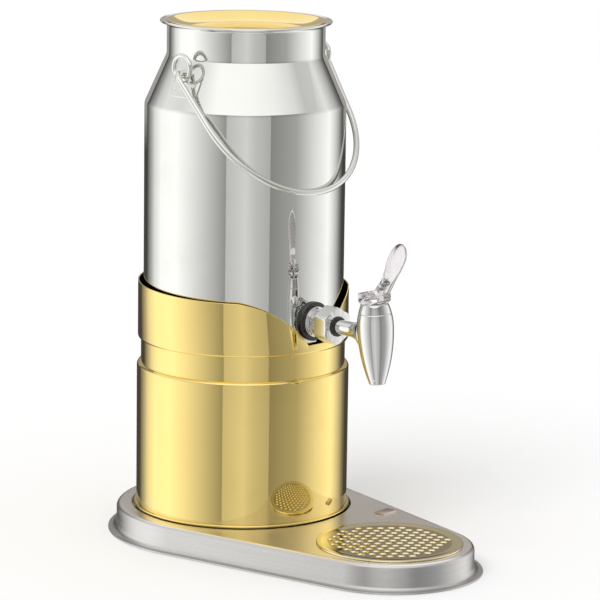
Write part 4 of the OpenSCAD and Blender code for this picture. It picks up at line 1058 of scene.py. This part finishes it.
def ear_shelf_shape(side):
    """The shelf folded out from the plate, with round corners, that carries the ring."""
    rows, columns, edge = 24, 16, EAR_SHELF_EDGE
    half = EAR_SHELF_W / 2
    top, under = [], []
    for i in range(rows + 1):
        off = half * math.sin(math.pi / 2 * (2 * i / rows - 1))
        y = off - EAR_OFFSET
        past = max(0, abs(off) - half + EAR_SHELF_CORNER)
        outer = EAR_SHELF_OUT - EAR_SHELF_CORNER + math.sqrt(max(0, EAR_SHELF_CORNER ** 2 - past * past))
        inner = math.sqrt((cone_r(EAR_SHELF_Z) - EAR_SHELF_SINK) ** 2 - y * y)
        top_row, under_row = [], []
        for k in range(columns + 1):
            x = inner + (outer - inner) * math.sin(math.pi / 2 * k / columns)
            drop = edge * (1 - eased(min(outer - x, half - abs(off)), edge))
            top_row.append((side * x, y, EAR_SHELF_Z - drop))
            under_row.append((side * x, y, EAR_SHELF_Z - EAR_T + drop))
        top.append(top_row)
        under.append(under_row)
    return slab(top, under)


def make_ear(node, side):
    ear = look_of(node, ear_plate_shape(side))
    combined(ear, ear_shelf_shape(side), "UNION")
    soften(ear.data, 40)
    standing(ear, STEEL, node)


make_ear("ear_plate_left", -1)
make_ear("ear_plate_right", 1)
piece_for("ear_ring_left", ring_shape(-1), STEEL)
piece_for("ear_ring_right", ring_shape(1), STEEL)


# Outlet and tap
def gasket_shape():
    """A ring whose back follows the churn's round wall."""
    inner, wall = NIPPLE_HOLE_R, CHURN_R + GASKET_GAP
    loops = []
    for c, s in circle(1, 96):
        back_in = math.sqrt(wall ** 2 - (inner * c) ** 2)
        back_out = math.sqrt(wall ** 2 - (GASKET_R * c) ** 2)
        column = rounded([(inner, back_in), (GASKET_R, back_out, 0.3), (GASKET_R, GASKET_OUT, GASKET_EDGE),
                          (inner, GASKET_OUT, 0.2)], steps=5)
        loops.append([(r * c, r * s, z) for r, z in column])
    return placed(skin(loops), ALONG_TAP)


piece_for("outer_gasket", gasket_shape(), GLOSSY_RUBBER)


def washer_shape():
    return turned([
        (NIPPLE_HOLE_R, GASKET_OUT), (WASHER_R, GASKET_OUT, 0.3), (WASHER_R, WASHER_OUT, 0.5),
        (NIPPLE_HOLE_R, WASHER_OUT)], 128, ALONG_TAP)


piece_for("outer_washer", washer_shape(), CHROME)


def nipple_shape():
    """A bored nipple with a round shoulder and a cut thread."""
    count, steps, edge = 96, 66, 0.5
    shoulder = rounded([(NIPPLE_R, WASHER_OUT), (NECK_RING_R, WASHER_OUT, 0.4),
                        (NECK_RING_R, NECK_RING_OUT, 0.6), (NIPPLE_R - edge, NECK_RING_OUT)], False)
    start = [(NIPPLE_BORE_R, NIPPLE_IN), (NIPPLE_R - edge, NIPPLE_IN), (NIPPLE_R, NIPPLE_IN + edge)]
    start += shoulder
    end = [(NIPPLE_R - THREAD_DEPTH, NIPPLE_OUT), (NIPPLE_BORE_R, NIPPLE_OUT)]
    loops = []
    for k, (c, s) in enumerate(circle(1, count)):
        thread = []
        for i in range(steps + 1):
            z = NECK_RING_OUT + 0.4 + (NIPPLE_OUT - 0.8 - NECK_RING_OUT) * i / steps
            wave = abs(((z / THREAD_PITCH - k / count) % 1) * 2 - 1)
            thread.append((NIPPLE_R - THREAD_DEPTH * wave, z))
        loops.append([(r * c, r * s, z) for r, z in start + thread + end])
    return placed(skin(loops), ALONG_TAP)


piece_for("outlet_nipple", nipple_shape(), CHROME, 50)


def nut_shape(flats, z0, z1, chamfer, bores, count=360, levels=40):
    """A hexagon nut whose corners are turned down at both ends; bores are (radius, height) inside."""
    half = flats / 2
    corner = half / math.cos(deg(30))
    loops = []
    for k in range(count):
        a = 2 * math.pi * k / count
        side = half / math.cos((a + deg(30)) % deg(60) - deg(30))
        side = -math.log(math.exp(-side * 6) + math.exp(-(corner - 0.35) * 6)) / 6
        column = []
        for i in range(levels + 1):
            z = z0 + (z1 - z0) * i / levels
            end = min(z - z0, z1 - z)
            share = min(1, end / chamfer)
            turned_r = half - 0.3 + (corner - half + 0.3) * math.sqrt(share * (2 - share))
            column.append((min(side, turned_r), z))
        column += bores
        loops.append([(r * math.cos(a), r * math.sin(a), z) for r, z in column])
    return skin(loops)


union = nut_shape(UNION_FLATS, UNION_IN, UNION_OUT, UNION_CHAMFER, [
    (PIPE_R + UNION_MOUTH, UNION_OUT), (PIPE_HOLE_R, UNION_OUT - 0.7), (PIPE_HOLE_R, UNION_STEP),
    (NIPPLE_HOLE_R, UNION_STEP), (NIPPLE_HOLE_R, UNION_IN + 0.8), (NIPPLE_R + UNION_MOUTH, UNION_IN)])
piece_for("union_nut", placed(union, ALONG_TAP), CHROME, 40)


def retaining_ring_shape():
    inner, outer, end = PIPE_R + PIPE_RING_GAP, PIPE_R + PIPE_RING_W, UNION_OUT + PIPE_RING_T
    line = [(inner, UNION_OUT), (outer, UNION_OUT, 0.3), (outer, end, 0.7), (inner, end)]
    return turned(line, 96, ALONG_TAP)


piece_for("retaining_ring", retaining_ring_shape(), RUBBER)


def body_side():
    """Outer line of the valve's body from the spout up to the seam."""
    drop = BODY_DOWN + BODY_WIDE
    swell = BODY_R - SPOUT_R
    curve = (drop * drop + swell * swell) / (2 * swell)
    side = arc((BODY_R - curve, BODY_WIDE), curve, -math.degrees(math.asin(drop / curve)), 0, 36)
    top = math.degrees(math.asin((SEAM_UP - BODY_WIDE) / BONNET_CURVE))
    return side + arc((BODY_R - BONNET_CURVE, BODY_WIDE), BONNET_CURVE, 0, top, 10)[1:]


def tap_body_shape():
    end = -BODY_DOWN - SPOUT_LIP
    side = body_side()
    edge = rounded([(SPOUT_BORE_R, end), (SPOUT_R - 0.25, end, 1.0), side[1]], False)
    line = edge[:-1] + side[1:]
    top_r, top_z = line[-1]
    line[-1] = (top_r, top_z - SEAM_CUT)
    line += [(top_r - SEAM_CUT, top_z), (VALVE_BORE_R, SEAM_UP), (VALVE_BORE_R, VALVE_BORE_LOW),
             (SPOUT_BORE_R, VALVE_BORE_LOW)]
    return placed(lathe(line, 160), ALONG_VALVE)


def pipe_shape():
    """The flanged pipe, flared into the valve's body more in height than in width."""
    sides, steps = 96, 16
    flange_out = PIPE_FLANGE_IN + PIPE_FLANGE_T
    rows = [(PIPE_FLANGE_IN, PIPE_FLANGE_R, PIPE_FLANGE_R), (flange_out, PIPE_FLANGE_R, PIPE_FLANGE_R),
            (flange_out, PIPE_R, PIPE_R)]
    for k in range(steps + 1):
        z = PIPE_FLARE_IN + (PIPE_END - PIPE_FLARE_IN) * k / steps
        grown_by = min(1, (z - PIPE_FLARE_IN) / (PIPE_FLARE_OUT - PIPE_FLARE_IN)) ** 2.2
        rows.append((z, PIPE_R + PIPE_FLARE[0] * grown_by, PIPE_R + PIPE_FLARE[1] * grown_by))
    loops = [[(w * c, h * s, z) for c, s in circle(1, sides)] for z, w, h in rows]
    return placed(skin(loops, around=False, ends=True), ALONG_TAP)


tap_body = look_of("tap_body", tap_body_shape())
combined(tap_body, pipe_shape(), "UNION")
pipe_bore = rod(PIPE_BORE_R, PIPE_BORE_IN, VALVE_REACH - PIPE_BORE_SHORT, 48, ALONG_TAP)
combined(tap_body, pipe_bore, "DIFFERENCE")
soften(tap_body.data, 40)
standing(tap_body, CHROME, "tap_body")


def bonnet_shape():
    a0 = math.degrees(math.asin((SEAM_UP - BODY_WIDE) / BONNET_CURVE))
    a1 = math.degrees(math.asin((BONNET_UP - BODY_WIDE) / BONNET_CURVE))
    side = arc((BODY_R - BONNET_CURVE, BODY_WIDE), BONNET_CURVE, a0, a1, 12)
    seam_r = side[0][0]
    side[0] = (seam_r - SEAM_CUT, SEAM_UP)
    side.insert(1, (seam_r - 0.02, SEAM_UP + SEAM_CUT))
    crown = rounded([side[-2], (side[-1][0], BONNET_UP, 1.6), (STEM_HOLE_R, BONNET_UP)], False)
    spigot = [(STEM_HOLE_R, SPRING_ROOM_TOP), (SPRING_ROOM_R, SPRING_ROOM_TOP), (SPRING_ROOM_R, SPIGOT_LOW),
              (SPIGOT_R, SPIGOT_LOW), (SPIGOT_R, SEAL_GROOVE_LOW), (SEAL_GROOVE_R, SEAL_GROOVE_LOW),
              (SEAL_GROOVE_R, SEAL_GROOVE_TOP), (SPIGOT_R, SEAL_GROOVE_TOP), (SPIGOT_R, SEAM_UP)]
    return placed(lathe(spigot + side[:-2] + crown, 160), ALONG_VALVE)


piece_for("tap_bonnet", bonnet_shape(), CHROME)

# Lever: X across, Y outward from the churn, Z up from the bonnet's top
ON_BONNET = ALONG_VALVE @ Matrix.Translation((0, 0, BONNET_UP)) @ Matrix.Diagonal((1, -1, 1, 1))


def read_off(stops, place):
    """A value on a soft line through (place, value) stops."""
    for (p0, v0), (p1, v1) in zip(stops, stops[1:]):
        if place <= p1:
            k = (place - p0) / (p1 - p0)
            return v0 + (v1 - v0) * k * k * (3 - 2 * k)
    return stops[-1][1]


def paddle_shape():
    """The lever's spoon: lens-shaped sections along a bent line, with a round end."""
    sides, steps, end_steps = 56, 40, 22
    a, b, c, d = (Vector(p) for p in PADDLE_LINE)

    def at(t):
        return a * (1 - t) ** 3 + b * 3 * t * (1 - t) ** 2 + c * 3 * t * t * (1 - t) + d * t ** 3

    stops = [(PADDLE_ROUND * i / steps, 1) for i in range(steps)]
    for i in range(end_steps + 1):
        swing = deg(88.5) * i / end_steps
        stops.append((PADDLE_ROUND + (1 - PADDLE_ROUND) * math.sin(swing), math.cos(swing)))
    loops = []
    for t, narrowed in stops:
        ahead = (at(t + 0.01) - at(t - 0.01)).normalized()
        half_w = read_off(PADDLE_WIDTHS, t) / 2 * narrowed
        half_t = read_off(PADDLE_THICK, t) / 2 * math.sqrt(narrowed)
        loop = []
        centre = at(t)
        for cosine, sine in circle(1, sides):
            across = half_w * math.copysign(abs(cosine) ** PADDLE_SQUARE, cosine)
            deep = half_t * math.copysign(abs(sine) ** PADDLE_SQUARE, sine)
            loop.append((across, centre.x - ahead.y * deep, centre.y + ahead.x * deep))
        loops.append(loop)
    return placed(skin(loops, around=False, ends=True), ON_BONNET)


def hub_shape():
    """The lever's hub: a disc on a rocking foot, with a top that falls to both sides."""
    count = 128
    flat = HUB_R - HUB_EDGE
    turn = [deg(90) * k / 6 for k in range(7)]
    line = [(flat * k / 8, 0, False) for k in range(9)]
    line += [(flat + HUB_EDGE * math.sin(a), HUB_EDGE * (1 - math.cos(a)), False) for a in turn[1:]]
    line += [(flat + HUB_EDGE * math.cos(a), HUB_EDGE * (1 - math.sin(a)), True) for a in turn]
    line += [(flat * k / 8, 0, True) for k in range(7, -1, -1)]
    loops = []
    for r, off, on_top in line:
        loop = []
        for x, y in circle(r, count):
            foot = max(0, abs(y) - FOOT_HALF) * math.tan(FOOT_RISE)
            loop.append((x, y, read_off(HUB_TOP, y) - off if on_top else foot + off))
        loops.append(loop)
    return placed(skin(loops, around=False), ON_BONNET)


def box_shape(low, high):
    ring = [(low[0], low[1]), (high[0], low[1]), (high[0], high[1]), (low[0], high[1])]
    return skin([[(x, y, z) for x, y in ring] for z in (low[2], high[2])], around=False, ends=True)


lever = look_of("tap_lever", hub_shape())
stem_slot = box_shape((-SLOT_HALF, -2 * SLOT_HALF, -1), (SLOT_HALF, 2 * SLOT_HALF, SLOT_TOP))
along_pin = ON_BONNET @ Matrix.Translation((0, 0, PIN_UP)) @ Matrix.Rotation(deg(90), 4, "Y")
combined(lever, paddle_shape(), "UNION")
combined(lever, placed(stem_slot, ON_BONNET), "DIFFERENCE")
combined(lever, rod(PIN_HOLE_R, -20, 20, 32, along_pin), "DIFFERENCE")
soften(lever.data, 35)
standing(lever, ACRYLIC, "tap_lever")


# Stage: floor, cards that the metal mirrors, lamps and world
def stage_mesh(name, points, faces, material):
    mesh = bpy.data.meshes.new(name)
    mesh.from_pydata([tuple(FACING @ Vector(p)) for p in points], [], faces)
    mesh.materials.append(material)
    piece = linked(name, mesh)
    return piece


def floor_material():
    material, tree, shader, where = new_material("floor")
    cloud = noise(tree, where, 3.0, 2)
    feed(tree, mixed(tree, cloud, (0.98, 0.98, 0.98, 1), (0.99, 0.99, 0.99, 1)), shader.inputs["Base Color"])
    shader.inputs["Roughness"].default_value = 0.9
    shader.inputs["Specular IOR Level"].default_value = 0
    return material


FLOOR_HALF = 12
floor_corners = [(x * FLOOR_HALF, y * FLOOR_HALF, 0) for x, y in ((-1, -1), (1, -1), (1, 1), (-1, 1))]
floor = stage_mesh("floor", floor_corners, [(0, 1, 2, 3)], floor_material())
floor.visible_glossy = False


def ramp_of(tree, value, stops):
    """Grey levels between (place, level) stops."""
    ramp = node_of(tree, "ShaderNodeValToRGB")
    feed(tree, value, ramp.inputs[0])
    elements = ramp.color_ramp.elements
    while len(elements) < len(stops):
        elements.new(0.5)
    for element, (place, level) in zip(elements, stops):
        element.position = place
        element.color = (level, level, level, 1)
    return ramp.outputs[0]


def card_material(name, levels, heights, tint):
    """A glow that changes along the card and up it."""
    material = bpy.data.materials.new(name)
    material.use_nodes = True
    tree = material.node_tree
    tree.nodes.clear()
    split = node_of(tree, "ShaderNodeSeparateXYZ")
    feed(tree, node_of(tree, "ShaderNodeUVMap", uv_map="along").outputs[0], split.inputs[0])
    both = node_of(tree, "ShaderNodeVectorMath", operation="MULTIPLY")
    feed(tree, ramp_of(tree, split.outputs[0], levels), both.inputs[0])
    feed(tree, ramp_of(tree, split.outputs[1], heights), both.inputs[1])
    glow = node_of(tree, "ShaderNodeEmission")
    tinted = node_of(tree, "ShaderNodeVectorMath", operation="MULTIPLY")
    feed(tree, both.outputs[0], tinted.inputs[0])
    feed(tree, tint, tinted.inputs[1])
    feed(tree, tinted.outputs[0], glow.inputs["Color"])
    feed(tree, glow.outputs[0], node_of(tree, "ShaderNodeOutputMaterial").inputs["Surface"])
    return material


CARD_R, CARD_LOW, CARD_HIGH = 0.94, -0.75, 0.75
SIDE_LINE = [(CARD_R, CARD_LOW), (CARD_R, 0), (CARD_R, CARD_HIGH)]
TOP_LINE = [(CARD_R, CARD_HIGH), (0.9, 1.0), (0.78, 1.2), (0.55, 1.38), (0.25, 1.45)]
EVEN = [(0, 1), (1, 1)]
SIDE_FADE = [(0, 1), (0.7, 1), (1, 0.72)]


def card(name, start, end, levels, line=SIDE_LINE, heights=EVEN, tint=(1, 1, 1)):
    """A curved card between two angles, counted to the right, at which the churn's wall mirrors it."""
    steps = max(4, int(abs(end - start) / 3))
    low, high = line[0][1], line[-1][1]
    points, faces, uvs = [], [], []
    for i in range(steps + 1):
        mirrored_at = deg(start + (end - start) * i / steps)
        a = mirrored_at - math.asin(CHURN_R * MM / CARD_R * math.sin(mirrored_at / 2))
        for r, z in line:
            points.append((r * math.sin(a), -r * math.cos(a), z))
            uvs.append((i / steps, (z - low) / (high - low)))
    rows = len(line)
    for i in range(steps):
        for k in range(rows - 1):
            faces.append((i * rows + k, i * rows + k + 1, (i + 1) * rows + k + 1, (i + 1) * rows + k))
    piece = stage_mesh(name, points, faces, card_material(name, levels, heights, tint))
    layer = piece.data.uv_layers.new(name="along")
    for loop in piece.data.loops:
        layer.data[loop.index].uv = uvs[loop.vertex_index]
    piece.visible_camera = False
    piece.visible_diffuse = False
    piece.visible_shadow = False
    return piece


BACK_HEIGHTS = [(0, 0.07), (0.62, 0.07), (0.65, 0.38), (0.72, 0.40), (0.94, 0.5), (1, 0.6)]
WARM = (1, 0.95, 0.89)
for side, start, end in (("left", -186, -150), ("right", 150, 186)):
    back = card("back_" + side, start, end, EVEN, heights=BACK_HEIGHTS, tint=WARM)
    back.visible_transmission = False
SIDE_CARDS = (
    ("left_flag", -150, -112, [(0, 0.06), (0.12, 0.14), (0.45, 0.54), (0.66, 0.95), (1, 1.3)]),
    ("left_card", -112, -21, [(0, 1.35), (0.3, 1.42), (0.5, 1.14), (1, 0.38)]),
    ("middle_card", -21, 29, [(0, 0.68), (0.45, 0.87), (0.66, 0.70), (1, 0.56)]),
    ("right_card", 29, 112, [(0, 0.32), (0.38, 0.49), (0.7, 0.98), (1, 1.35)]),
    ("right_flag", 112, 150, [(0, 1.3), (0.1, 1.18), (0.42, 0.74), (0.75, 0.24), (1, 0.06)]),
)
TOP_CARDS = (
    ("top_card", -60, 80, [(0, 1.1), (0.15, 1.35), (0.5, 1.35), (0.7, 1.2), (0.9, 0.95), (1, 0.72)]),
    ("top_left", -186, -60, [(0, 1.12), (0.4, 1.08), (0.8, 0.95), (1, 1.1)]),
    ("top_right", 80, 186, [(0, 0.72), (0.3, 0.8), (0.6, 1.08), (1, 1.12)]),
)
for name, start, end, levels in SIDE_CARDS:
    card(name, start, end, levels, heights=SIDE_FADE)
for name, start, end, levels in TOP_CARDS:
    card(name, start, end, levels, TOP_LINE)
WORLD_LIGHT = 0.78


def make_lamps():
    data = bpy.data.lights.new("key", "SUN")
    data.energy = 1.0
    data.angle = deg(35)
    key = bpy.data.objects.new("key", data)
    key.matrix_world = FACING @ Matrix.Rotation(deg(-25), 4, "Y") @ Matrix.Rotation(deg(30), 4, "X")
    key.visible_glossy = False
    key.visible_transmission = False
    bpy.context.scene.collection.objects.link(key)
    world = bpy.data.worlds.new("studio")
    bpy.context.scene.world = world
    world.use_nodes = True
    tree = world.node_tree
    ground = tree.nodes["Background"]
    path = node_of(tree, "ShaderNodeLightPath").outputs
    seen = maths(tree, "MAXIMUM", maths(tree, "MAXIMUM", path["Is Camera Ray"], path["Is Glossy Ray"]),
                 path["Is Transmission Ray"])
    ground.inputs["Color"].default_value = (1, 1, 1, 1)
    feed(tree, mapped(tree, seen, 0, 1, WORLD_LIGHT, 1.0), ground.inputs["Strength"])


make_lamps()
bpy.context.scene.view_settings.view_transform = "Standard"
